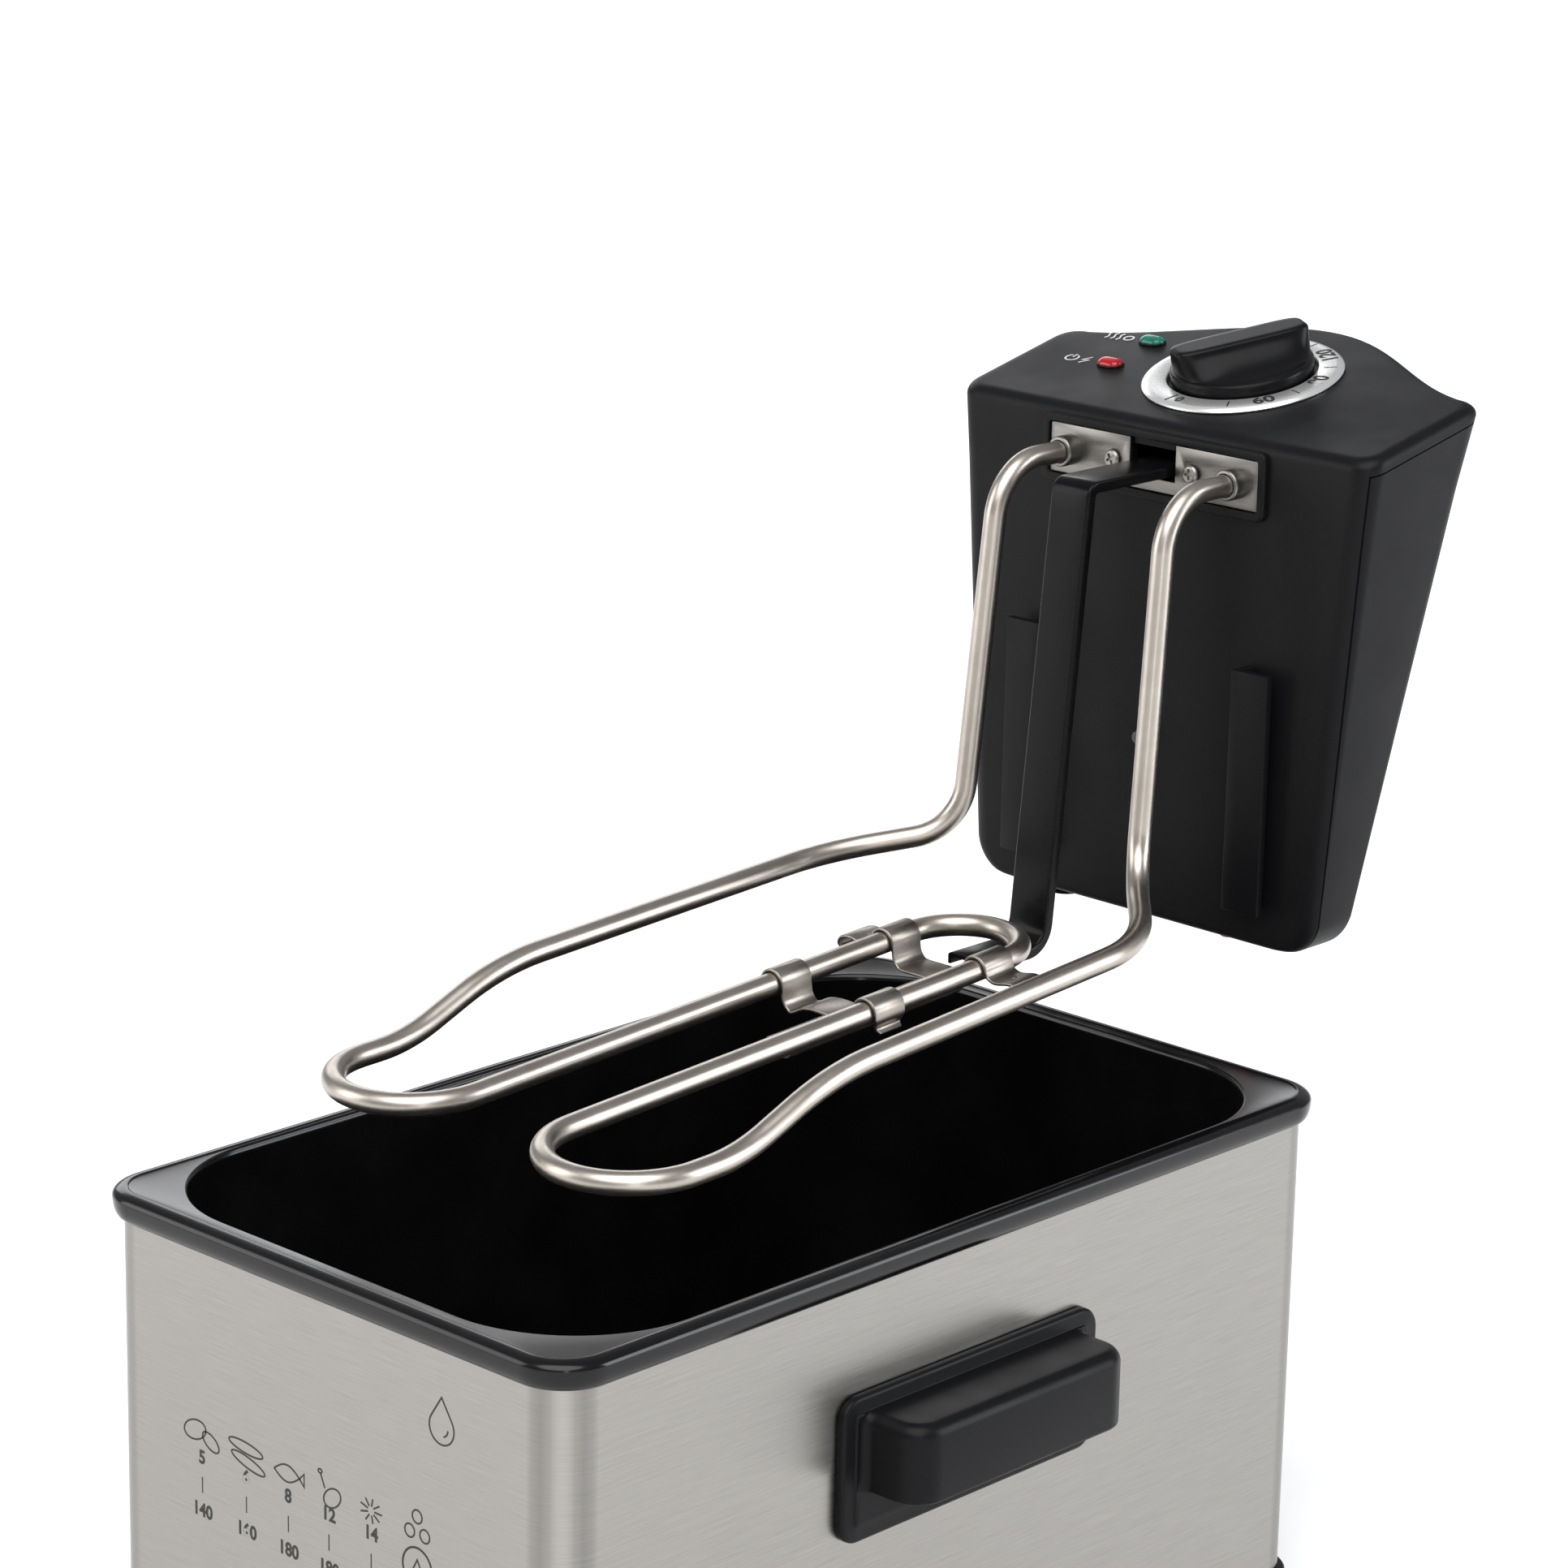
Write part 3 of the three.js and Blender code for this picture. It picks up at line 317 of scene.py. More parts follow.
def addBump(material, noise, strength, depth):
    nodes, links = material.node_tree.nodes, material.node_tree.links
    bump = nodes.new("ShaderNodeBump")
    bump.inputs["Strength"].default_value = strength
    bump.inputs["Distance"].default_value = depth * millimetre
    links.new(noise.outputs["Fac"], bump.inputs["Height"])
    links.new(bump.outputs["Normal"], nodes["Principled BSDF"].inputs["Normal"])


steelLook = {
    "colour": (0.315, 0.303, 0.284), "roughness": 0.3, "anisotropy": 0.55, "brushMarks": 0.05,
    # These corner tones are painted reflection: darker bands with a lighter middle line at each corner.
    "paintedCornerReflectionTones": ((0.0, 1.0), (0.3, 0.8), (0.65, 0.7), (0.88, 0.84), (1.0, 1.12)),
}


# Stainless sheet brushed along the horizontal, with painted reflection at its corners.
def brushedSteelFinish():
    material = newFinish("brushedSteel", steelLook["colour"], steelLook["roughness"], metallic=1.0)
    shader = material.node_tree.nodes["Principled BSDF"]
    shader.inputs["Anisotropic"].default_value = steelLook["anisotropy"]
    marks = addNoise(material, (55, 55, 4600), detail=3)
    tone = steelLook["colour"]
    shadeColour(material, marks, [c * 0.89 for c in tone], [c * 1.09 for c in tone])
    # Painted reflection: the corners get painted darker bands and a painted highlight line from their bend.
    paintCornerReflection(material, steelLook["paintedCornerReflectionTones"])
    shadeRoughness(material, marks, steelLook["roughness"] - 0.03, steelLook["roughness"] + 0.04)
    addBump(material, marks, steelLook["brushMarks"], 0.02)
    return material


# Paints reflection into the colour by the sheet's own bend, which is 0 on the flats and 1 in the middle of a
# corner: painted shade darkens the corner's rounding and a painted highlight brightens its middle line.
def paintCornerReflection(material, tones):
    nodes, links = material.node_tree.nodes, material.node_tree.links
    bend = nodes.new("ShaderNodeAttribute")
    bend.attribute_name = "bend"
    ramp = nodes.new("ShaderNodeValToRGB")
    elements = ramp.color_ramp.elements
    while len(elements) < len(tones):
        elements.new(0.5)
    for element, (position, tone) in zip(elements, tones):
        element.position = position
        element.color = (tone, tone, tone, 1)
    mix = nodes.new("ShaderNodeVectorMath")
    mix.operation = "MULTIPLY"
    shader = nodes["Principled BSDF"]
    links.new(shader.inputs["Base Color"].links[0].from_socket, mix.inputs[0])
    links.new(bend.outputs["Fac"], ramp.inputs["Fac"])
    links.new(ramp.outputs["Color"], mix.inputs[1])
    links.new(mix.outputs["Vector"], shader.inputs["Base Color"])


# Sheet steel of the plate, with a fine grain along its length.
def plateSteelFinish():
    material = newFinish("stainlessPlate", (0.21, 0.2, 0.188), 0.34, metallic=1.0)
    grain = addNoise(material, (90, 90, 4200), detail=2)
    shadeColour(material, grain, (0.18, 0.173, 0.161), (0.23, 0.221, 0.207))
    shadeRoughness(material, grain, 0.3, 0.38)
    return material


def enamelFinish():
    material = newFinish("blackEnamel", (0.003, 0.003, 0.0033), 0.16, specular=0.28)
    orangePeel = addNoise(material, (260, 260, 260), detail=2)
    cloud = addNoise(material, (28, 28, 28), detail=3)
    shadeRoughness(material, cloud, 0.13, 0.22)
    shadeColour(material, cloud, (0.002, 0.002, 0.0023), (0.004, 0.004, 0.0044))
    addBump(material, orangePeel, 0.06, 0.05)
    return material


plasticLook = {
    "colour": (0.0045, 0.0047, 0.0053), "roughness": 0.42, "specular": 0.11, "grain": 2300, "grainDepth": 0.2,
}


def mouldedFinish(name="mouldedPlastic", lift=1.0, roughness=None, grain=1.0):
    rough = roughness or plasticLook["roughness"]
    tone = [c * lift for c in plasticLook["colour"]]
    material = newFinish(name, tone, rough, specular=plasticLook["specular"])
    spark = addNoise(material, (plasticLook["grain"] * grain,) * 3, detail=1)
    cloud = addNoise(material, (35, 35, 35), detail=2)
    shadeColour(material, spark, [c * 0.75 for c in tone], [c * 1.3 for c in tone])
    shadeRoughness(material, cloud, rough - 0.05, rough + 0.06)
    addBump(material, spark, plasticLook["grainDepth"], 0.05)
    return material


def rubberFinish():
    material = newFinish("footRubber", (0.02, 0.02, 0.02), 0.85, specular=0.3)
    dust = addNoise(material, (600, 600, 600), detail=3)
    shadeColour(material, dust, (0.014, 0.014, 0.014), (0.035, 0.034, 0.033))
    addBump(material, dust, 0.25, 0.1)
    return material


nickelLook = {"dark": (0.37, 0.335, 0.295), "light": (0.47, 0.43, 0.385), "low": 0.3, "high": 0.38}


# Tube of the element: drawn metal with long faint streaks and a warm tint.
def nickelFinish(name="tubeNickel", streak=(42, 42, 42), lift=1.0):
    material = newFinish(name, nickelLook["light"], 0.25, metallic=1.0)
    cloud = addNoise(material, streak, detail=4)
    dark = [c * lift for c in nickelLook["dark"]]
    light = [c * lift for c in nickelLook["light"]]
    shadeColour(material, cloud, dark, light)
    fine = addNoise(material, (900, 900, 900), detail=2)
    shadeRoughness(material, fine, nickelLook["low"], nickelLook["high"])
    return material


def zincFinish():
    material = newFinish("screwZinc", (0.33, 0.32, 0.3), 0.38, metallic=1.0)
    cloud = addNoise(material, (700, 700, 700), detail=3)
    shadeColour(material, cloud, (0.25, 0.24, 0.222), (0.38, 0.37, 0.345))
    shadeRoughness(material, cloud, 0.32, 0.44)
    return material


def dialFinish():
    material = newFinish("dialSilver", (0.8, 0.8, 0.79), 0.24, metallic=0.8)
    rings = addNoise(material, (3200, 1.2, 60), detail=2, attribute="polar")
    shadeColour(material, rings, (0.76, 0.76, 0.755), (0.82, 0.82, 0.81))
    shadeRoughness(material, rings, 0.24, 0.3)
    return material


def glassFinish(name, dark, light):
    material = newFinish(name, light, 0.16, specular=0.35, coat=0.1)
    shader = material.node_tree.nodes["Principled BSDF"]
    shader.inputs["Subsurface Weight"].default_value = 0.25
    shader.inputs["Subsurface Scale"].default_value = 0.002
    depth = addNoise(material, (260, 260, 260), detail=1)
    shadeColour(material, depth, dark, light)
    return material


# A plain made material for wires, ceramic, ink and the parts inside the housing.
def simpleFinish(name, dark, light, roughness, metallic=0.0, grain=500, bump=0.1):
    material = newFinish(name, light, roughness, metallic=metallic)
    cloud = addNoise(material, (grain, grain, grain), detail=3)
    shadeColour(material, cloud, dark, light)
    shadeRoughness(material, cloud, max(roughness - 0.06, 0.05), roughness + 0.08)
    addBump(material, cloud, bump, 0.04)
    return material


steelSheet = brushedSteelFinish()
plateSteel = plateSteelFinish()
enamel = enamelFinish()
moulded = mouldedFinish()
mouldedFine = mouldedFinish("handlePlastic", lift=0.95, roughness=0.36, grain=1.3)
knobPlastic = mouldedFinish("knobPlastic", lift=0.8, roughness=0.3, grain=1.6)
guardPaint = mouldedFinish("guardPaint", lift=0.62, roughness=0.24, grain=0.7)
rubber = rubberFinish()
tubeNickel = nickelFinish()
clipNickel = nickelFinish("clipNickel", streak=(160, 40, 160), lift=0.74)
zinc = zincFinish()
dialSilver = dialFinish()
greenGlass = glassFinish("greenGlass", (0.0, 0.1, 0.07), (0.0, 0.15, 0.105))
redGlass = glassFinish("redGlass", (0.25, 0.001, 0.004), (0.36, 0.002, 0.006))
blackInk = simpleFinish("blackInk", (0.006, 0.006, 0.006), (0.014, 0.014, 0.014), 0.6)
whiteInk = simpleFinish("whiteInk", (0.45, 0.45, 0.45), (0.62, 0.62, 0.62), 0.6)
ceramic = simpleFinish("paleCeramic", (0.62, 0.6, 0.54), (0.78, 0.76, 0.7), 0.6, grain=300)
switchPlastic = simpleFinish("switchPlastic", (0.03, 0.03, 0.032), (0.07, 0.07, 0.075), 0.5)
brownSkin = simpleFinish("brownSkin", (0.1, 0.04, 0.02), (0.16, 0.07, 0.035), 0.5)
blueSkin = simpleFinish("blueSkin", (0.02, 0.07, 0.22), (0.03, 0.11, 0.33), 0.5)
whiteSleeve = simpleFinish("whiteSleeve", (0.6, 0.58, 0.52), (0.78, 0.77, 0.72), 0.7, grain=1500, bump=0.3)
aluminium = simpleFinish("satinAluminium", (0.6, 0.6, 0.61), (0.78, 0.78, 0.79), 0.32, metallic=1.0)
brassMetal = simpleFinish("brassMetal", (0.55, 0.38, 0.12), (0.72, 0.52, 0.2), 0.3, metallic=1.0)
lampGlow = simpleFinish("lampGlass", (0.5, 0.42, 0.36), (0.75, 0.68, 0.6), 0.15)
redPlastic = simpleFinish("redPlastic", (0.28, 0.01, 0.01), (0.42, 0.02, 0.015), 0.35)
print("finishes made")

# Casing: thin sheet with a rolled-in foot and an open top, standing on the base tray.
casing = {"overhang": 3.5, "corner": 14.0, "wall": 1.0, "footBend": 1.2, "mouth": 9.0, "steps": 16}
casingWidth = rimWidth - 2 * casing["overhang"]
casingLength = rimLength - 2 * casing["overhang"]
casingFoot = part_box("outer_casing")[0].z / millimetre
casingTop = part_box("outer_casing")[1].z / millimetre


def casingRing(inset, height):
    corner = max(casing["corner"] - inset, 1)
    outline = roundedOutline(casingWidth - 2 * inset, casingLength - 2 * inset, corner, casing["steps"])
    return lift(outline, height)


def makeCasingShell():
    wall, mouth, bend = casing["wall"], casing["mouth"], casing["footBend"]
    rings = [casingRing(mouth, casingFoot), casingRing(bend + 1, casingFoot)]
    rings += [casingRing(bend * a, casingFoot + bend * b) for a, b in quarterTurn(4)]
    rings += [casingRing(0, casingFoot + 3), casingRing(0, casingTop - 0.25)]
    rings += [casingRing(0.25, casingTop), casingRing(wall - 0.2, casingTop)]
    rings.append(casingRing(wall, casingTop - 0.2))
    rings += [casingRing(wall, casingFoot + wall + 1), casingRing(wall + 1, casingFoot + wall)]
    rings.append(casingRing(mouth, casingFoot + wall))
    piece = buildPiece("casingShell", [loft(rings, loop=True)], standFrame, steelSheet)
    # The bend value drives the painted corner reflection of the steel finish.
    piece.data.attributes.new("bend", "FLOAT", "POINT")
    for i in range(len(piece.data.vertices)):
        step = i % len(rings[0]) % (casing["steps"] + 1)
        piece.data.attributes["bend"].data[i].value = sin(pi * step / casing["steps"])
    return piece


declare(makeCasingShell(), "base", "brushed_casing", "outer_casing")

# Base tray under the casing, and the feet.
skirt = {"overhang": 2.5, "hollow": 17.0, "floor": 2.5, "edge": 1.4, "screwHead": 3.7, "screwBore": 2.0}
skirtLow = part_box("base_tray")[0].z / millimetre
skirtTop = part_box("base_tray")[1].z / millimetre


def skirtRing(inset, height):
    grow = skirt["overhang"] - inset
    corner = max(casing["corner"] + grow, 4)
    return lift(roundedOutline(casingWidth + 2 * grow, casingLength + 2 * grow, corner, 16), height)


def makeSkirt():
    edge = skirt["edge"]
    hollow = skirt["hollow"] + skirt["overhang"]
    rings = [skirtRing(edge + 2, skirtLow)]
    rings += [skirtRing(edge * a, skirtLow + edge * b) for a, b in quarterTurn(4)]
    rings += [skirtRing(edge * b, skirtTop - edge * a) for a, b in quarterTurn(4)]
    rings += [skirtRing(edge + 1, skirtTop), skirtRing(hollow, skirtTop)]
    rings += [skirtRing(hollow, skirtLow + skirt["floor"]), skirtRing(hollow + 1, skirtLow + skirt["floor"])]
    piece = buildPiece("baseSkirt", [loft(rings)], standFrame, moulded)
    wells = []
    for node in corners("base_screw"):
        place = [c / millimetre for c in middleOf(node)]
        wells.append(rod(skirt["screwHead"], skirtLow - 1, skirtLow + skirt["floor"], centre=place))
        wells.append(rod(skirt["screwBore"], skirtLow, skirtTop + 1, centre=place))
    cutAway(piece, wells[0::2], Matrix())
    cutAway(piece, wells[1::2], Matrix())
    smooth(piece)
    return piece


declare(makeSkirt(), "base", "black_plastic", "base_tray")


# A geometry nodes tree that takes a shape, some values and a finish, and paints what is made of them.
def newTree(name, inputs):
    tree = bpy.data.node_groups.new(name, "GeometryNodeTree")
    nodes, links = tree.nodes, tree.links
    sockets = {}
    for label, kind in (("Shape", "Geometry"), *inputs, ("Finish", "Material")):
        socket = tree.interface.new_socket(label, in_out="INPUT", socket_type=f"NodeSocket{kind}")
        sockets[label] = socket.identifier
    tree.interface.new_socket("Made", in_out="OUTPUT", socket_type="NodeSocketGeometry")
    entry, leave = nodes.new("NodeGroupInput"), nodes.new("NodeGroupOutput")
    realize, paint = nodes.new("GeometryNodeRealizeInstances"), nodes.new("GeometryNodeSetMaterial")
    links.new(realize.outputs["Geometry"], paint.inputs["Geometry"])
    links.new(entry.outputs["Finish"], paint.inputs["Material"])
    links.new(paint.outputs["Geometry"], leave.inputs["Made"])
    return tree, sockets, entry, realize


# Turns a piece's mesh into what a tree makes of it.
def growPiece(piece, tree, sockets, values):
    modifier = piece.modifiers.new("grow", "NODES")
    modifier.node_group = tree
    for label, value in values.items():
        modifier[sockets[label]] = value
    settle(piece)


# Repeated pieces: one master copied to marked places.
def repeatTree():
    tree, sockets, entry, realize = newTree("repeatedPiece", [("Master", "Object")])
    nodes, links = tree.nodes, tree.links
    master = nodes.new("GeometryNodeObjectInfo")
    turn = nodes.new("GeometryNodeInputNamedAttribute")
    turn.data_type = "FLOAT_VECTOR"
    turn.inputs["Name"].default_value = "turn"
    size = nodes.new("GeometryNodeInputNamedAttribute")
    size.data_type = "FLOAT"
    size.inputs["Name"].default_value = "size"
    rotate = nodes.new("FunctionNodeEulerToRotation")
    copies = nodes.new("GeometryNodeInstanceOnPoints")
    links.new(entry.outputs["Shape"], copies.inputs["Points"])
    links.new(entry.outputs["Master"], master.inputs["Object"])
    links.new(master.outputs["Geometry"], copies.inputs["Instance"])
    links.new(turn.outputs["Attribute"], rotate.inputs["Euler"])
    links.new(rotate.outputs["Rotation"], copies.inputs["Rotation"])
    links.new(size.outputs["Attribute"], copies.inputs["Scale"])
    links.new(copies.outputs["Instances"], realize.inputs["Geometry"])
    return tree, sockets


repeater, repeaterSockets = repeatTree()


# Places are (point in metres, Euler turn, size) for each copy.
def repeatPiece(name, master, places, finish):
    mesh = bpy.data.meshes.new(name)
    mesh.from_pydata([place[0] for place in places], [], [])
    mesh.attributes.new("turn", "FLOAT_VECTOR", "POINT")
    mesh.attributes.new("size", "FLOAT", "POINT")
    for i, (_, turn, size) in enumerate(places):
        mesh.attributes["turn"].data[i].vector = turn
        mesh.attributes["size"].data[i].value = size
    piece = linked(name, mesh)
    growPiece(piece, repeater, repeaterSockets, {"Master": master, "Finish": finish})
    for extra in ("turn", "size"):
        if extra in piece.data.attributes:
            piece.data.attributes.remove(piece.data.attributes[extra])
    return piece


foot = {"radius": 11.0, "edge": 1.6, "grooves": 3}


def makeFeet():
    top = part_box("base_tray")[0].z / millimetre - 0.3
    radius, edge = foot["radius"], foot["edge"]
    profile = [(radius - 4, 0.5), (radius - 3.6, 0), (radius - edge, 0)]
    profile += [(radius - edge + edge * sin(t), edge - edge * cos(t)) for t in (pi / 6, pi / 3, pi / 2)]
    for i in range(foot["grooves"]):
        level = edge + 0.6 + i * 1.6
        profile += [(radius, level), (radius - 0.4, level + 0.3)]
        profile += [(radius - 0.4, level + 0.6), (radius, level + 0.9)]
    profile += [(radius, top - 0.4), (radius - 0.4, top), (3.5, top), (3.5, top + 3)]
    master = buildPiece("footMaster", [loft(turnedRings(profile, 48))], Matrix(), rubber)
    places = [((*middleOf(node), 0), (0, 0, 0), 1) for node in corners("foot")]
    piece = repeatPiece("footPads", master, places, rubber)
    bpy.data.objects.remove(master)
    return piece


declare(makeFeet(), "base", "black_rubber", *corners("foot"))

# Screws: a pan head with a cross recess on a threaded shank.
screw = {"head": 3.4, "height": 1.5, "shank": 1.5, "length": 8.0, "pitch": 0.6, "recess": 1.0, "slot": 0.52}


def screwMaster():
    head, height = screw["head"], screw["height"]
    profile = [(0.3, -screw["length"]), (1.0, -screw["length"] + 0.8)]
    turns = int((screw["length"] - 1.6) / screw["pitch"])
    for i in range(turns):
        level = -screw["length"] + 1 + i * screw["pitch"]
        profile += [(screw["shank"] - 0.25, level), (screw["shank"], level + screw["pitch"] / 2)]
    profile += [(screw["shank"], -0.2), (screw["shank"], 0), (head - 0.15, 0), (head, 0.2)]
    for t in (0.35, 0.75, 1.15, pi / 2):
        profile.append((head * (0.72 + 0.28 * cos(t)), 0.2 + (height - 0.2) * sin(t)))
    profile.append((head * 0.5, height))
    master = buildPiece("screwMaster", [loft(turnedRings(profile, 32))], Matrix(), zinc)
    arm, width = head * 0.6, screw["slot"]
    for x, y in ((arm, width), (width, arm)):
        cutAway(master, [block((-x, -y, height - screw["recess"]), (x, y, height + 1))], Matrix())
    smooth(master)
    return master


# Where a framed screw sits: the seat of its head, the way its head faces, and its size.
def screwPlace(node):
    points = np.array([vertex.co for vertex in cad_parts[node].data.vertices])
    low, high = points.min(0), points.max(0)
    middle = (low + high) / 2
    axis = int(np.argmax(high - low))
    across = [i for i in range(3) if i != axis]
    reach = np.hypot(points[:, across[0]] - middle[across[0]], points[:, across[1]] - middle[across[1]])
    seat = points[reach > reach.max() * 0.97].mean(0)[axis]
    position = middle.copy()
    position[axis] = seat
    facing = Vector([0, 0, 0])
    facing[axis] = 1 if seat > middle[axis] else -1
    return tuple(position), facing, reach.max() / (screw["head"] * millimetre)


def makeScrews(name, master, nodes):
    places = []
    for i, node in enumerate(nodes):
        position, facing, size = screwPlace(node)
        turn = facing.to_track_quat("Z", "Y") @ Euler((0, 0, 0.5 + i * 1.1)).to_quaternion()
        places.append((position, tuple(turn.to_euler()), size))
    return repeatPiece(name, master, places, zinc)


screwPattern = screwMaster()
standScrews = corners("base_screw") + corners("handle_screw") + ["guide_screw_left", "guide_screw_right"]
unitScrews = ["plate_screw_left", "plate_screw_right", "housing_screw_left", "housing_screw_right"]
declare(makeScrews("standScrews", screwPattern, standScrews), "base", "zinc_screw", *standScrews)
declare(makeScrews("unitScrews", screwPattern, unitScrews), "control_unit", "zinc_screw", *unitScrews)
bpy.data.objects.remove(screwPattern)
print("casing, base, feet and screws made")

# Oil pan: a rolled bead round a flat land, and a deep drafted tub.
pan = {
    "bead": 4.2, "beadDrop": 2.6, "beadFoot": 6.0, "tuck": 2.4, "groove": 0.35, "sheet": 1.5,
    "landSide": 6.5, "landEnd": 9.3, "corner": 44.0, "lip": 2.2,
    "draftSide": 6.0, "draftEnd": 1.5, "floorRound": 14.0, "wall": 1.2, "steps": 20,
}
rimCorner = casing["corner"] + casing["overhang"]
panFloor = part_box("oil_pan")[0].z / millimetre + pan["wall"]


def beadRing(inset, height):
    corner = max(rimCorner - inset, 0.5)
    return lift(roundedOutline(rimWidth - 2 * inset, rimLength - 2 * inset, corner, pan["steps"]), height)


# A ring of the tub, grown outwards from the opening, at a height where the draft has narrowed it.
def tubRing(grow, height):
    down = min(max((rimTop - height) / (rimTop - panFloor), 0), 1)
    width = rimWidth - 2 * pan["landSide"] - 2 * pan["draftSide"] * down + 2 * grow
    length = rimLength - 2 * pan["landEnd"] - 2 * pan["draftEnd"] * down + 2 * grow
    return lift(roundedOutline(width, length, max(pan["corner"] + grow, 2), pan["steps"]), height)


def makePanShell():
    land, under = rimTop - pan["groove"], rimTop - pan["sheet"] - 0.4
    wall, bend = pan["wall"], pan["floorRound"]
    reach = bend + wall
    rings = [tubRing(-bend - 3, panFloor - wall), tubRing(-bend + wall, panFloor - wall)]
    rings += [tubRing(wall - reach * a, panFloor - wall + reach * b) for a, b in quarterTurn(7, 1)]
    bead, drop, tuck = pan["bead"], pan["beadDrop"], pan["tuck"]
    rings += [tubRing(wall, panFloor + 60), tubRing(wall, under - 1.2), tubRing(wall + 0.3, under)]
    rings += [beadRing(bead + 0.6, under), beadRing(bead + 0.2, under - 0.4)]
    rings += [beadRing(bead - 0.4, rimBottom + 1.2), beadRing(bead - 0.9, rimBottom + 0.3)]
    rings += [beadRing(tuck * a, rimBottom + pan["beadFoot"] * b) for a, b in quarterTurn(7)]
    rings += [beadRing(bead * b, rimTop - drop * a) for a, b in quarterTurn(12)]
    rings += [beadRing(bead + 0.35, rimTop - 0.06), beadRing(bead + 0.65, land + 0.08)]
    rings.append(beadRing(bead + 0.9, land))
    lip = pan["lip"]
    rings += [tubRing(min(lip, 1.2) * a, land - lip * b) for a, b in quarterTurn(7)]
    rings += [tubRing(0, land - lip - 2), tubRing(0, panFloor + 60)]
    rings += [tubRing(-bend * b, panFloor + bend * a) for a, b in quarterTurn(7)]
    rings.append(tubRing(-bend - 3, panFloor))
    return buildPiece("panShell", [loft(rings)], standFrame, enamel, smoothAngle=40)


declare(makePanShell(), "pan", "black_enamel", "oil_pan")
print("pan made")

# Side handles: a stepped plate and a grip that is hollow from below.
handle = {
    "length": 111.0, "height": 45.0, "plate": 3.5, "corner": 7.0, "border": 5.0, "step": 0.6,
    "gripLength": 94.0, "gripLow": -6.5, "gripHigh": 17.5, "reach": 21.0, "gripCorner": 10.0,
    "gripTopRound": 4.2, "gripFootRound": 1.2, "flare": 3.0, "wall": 4.0,
}
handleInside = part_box("handle_right")[0].x / millimetre
handleZ = (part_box("handle_right")[0].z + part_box("handle_right")[1].z) / 2 / millimetre


def handlePlateRings():
    def ring(inset, height):
        corner = max(handle["corner"] - inset, 1.5)
        outline = roundedOutline(handle["length"] - 2 * inset, handle["height"] - 2 * inset, corner, 8)
        return lift(outline, handleInside + height)

    thick, border, step = handle["plate"], handle["border"], handle["step"]
    rings = [ring(2, 0), ring(0.3, 0), ring(0, 0.3)]
    rings += [ring(1.3 * (1 - cos(t)), thick - step - 1.3 * (1 - sin(t))) for t in (0, 0.4, 0.8, 1.2, pi / 2)]
    rings += [ring(border - 0.4, thick - step), ring(border - 0.1, thick - step + 0.1)]
    rings += [ring(border + 0.1, thick - 0.15), ring(border + 0.4, thick), ring(border + 2, thick)]
    return rings


# Plan of the grip, inset from its full size: along the casing and away from it.
def gripOutline(inset, back, flare):
    side = handle["gripLength"] / 2 - inset
    far = handleInside + handle["plate"] + handle["reach"] - inset
    corner = max(handle["gripCorner"] - inset, 1)
    near = handleInside + handle["plate"]
    half = [(back, side + flare), (near + 0.2, side + flare)]
    half += [(near + flare - flare * cos(t), side + flare - flare * sin(t)) for t in (0.4, 0.8, 1.2, pi / 2)]
    half += [(x, y) for x, y in reversed(arc(far - corner, side - corner, corner, 0, pi / 2, 10))]
    return [(x, -y) for x, y in half] + [(x, y) for x, y in reversed(half)]


def makeHandle(name, side):
    low, high = handleZ + handle["gripLow"], handleZ + handle["gripHigh"]
    back = handleInside + handle["plate"] / 2
    flare = handle["flare"]
    top, under = handle["gripTopRound"], handle["gripFootRound"]
    rings = [lift(gripOutline(under + 2, back, flare), low)]
    rings += [lift(gripOutline(under * a, back, flare), low + under * b) for a, b in quarterTurn(3)]
    rings += [lift(gripOutline(top * b, back, flare), high - top * a) for a, b in quarterTurn(8)]
    rings.append(lift(gripOutline(top + 2, back, flare), high))
    grip = loft(rings)
    plate = shifted(alongX(loft(handlePlateRings())), z=handleZ)
    inner = handle["gripLength"] / 2 - 2 * handle["wall"]
    outside = handleInside + handle["plate"]
    near, far = outside + 0.5, outside + handle["reach"] - handle["wall"]
    hollow = block((near, -inner, low - 5), (far, inner, high - handle["wall"]))
    piece = buildPiece(name, [onSide(side, plate)], standFrame, mouldedFine)
    combine(piece, buildPiece("grip", [onSide(side, grip)], standFrame, mouldedFine), "UNION")
    pocket = buildPiece("pocket", [onSide(side, hollow)], standFrame, None)
    softenEdges(pocket, 2.0, 3)
    combine(piece, pocket, "DIFFERENCE")
    smooth(piece, 36)
    return piece


declare(makeHandle("sideHandleRight", 1), "base", "black_plastic", "handle_right")
declare(makeHandle("sideHandleLeft", -1), "base", "black_plastic", "handle_left")

declare(refineNode("slideGuide", "rear_guide", 0.7, moulded), "base", "black_plastic", "rear_guide")
print("handles and guide made")

# Housing of the control unit. It narrows downwards and towards its face, and its top rises to the back.
housing = {
    "height": 163.0, "topWidth": 172.0, "bottomWidth": 142.0, "topDepth": 56.0, "bottomDepth": 19.0,
    "bulge": 32.0, "slope": 12.5, "wall": 2.5, "footCorner": 12.0, "faceCorner": 8.0, "rearCorner": 8.0,
    "seamDrop": 5.0, "seamGap": 0.5, "topRound": 3.6, "footRound": 1.6, "ringHeight": 170.0,
}
slope = radians(housing["slope"])
shoulder = housing["height"] + housing["topDepth"] * tan(slope)


def blend(a, b, share):
    return a + (b - a) * share


def widthAt(z):
    return blend(housing["bottomWidth"], housing["topWidth"], z / shoulder)


def depthShare(z):
    return blend(housing["bottomDepth"] / housing["topDepth"], 1, z / shoulder)


def backAt(x):
    return housing["topDepth"] + housing["bulge"] / 2 * (1 + cos(pi * x / (housing["topWidth"] / 2 + 2)))


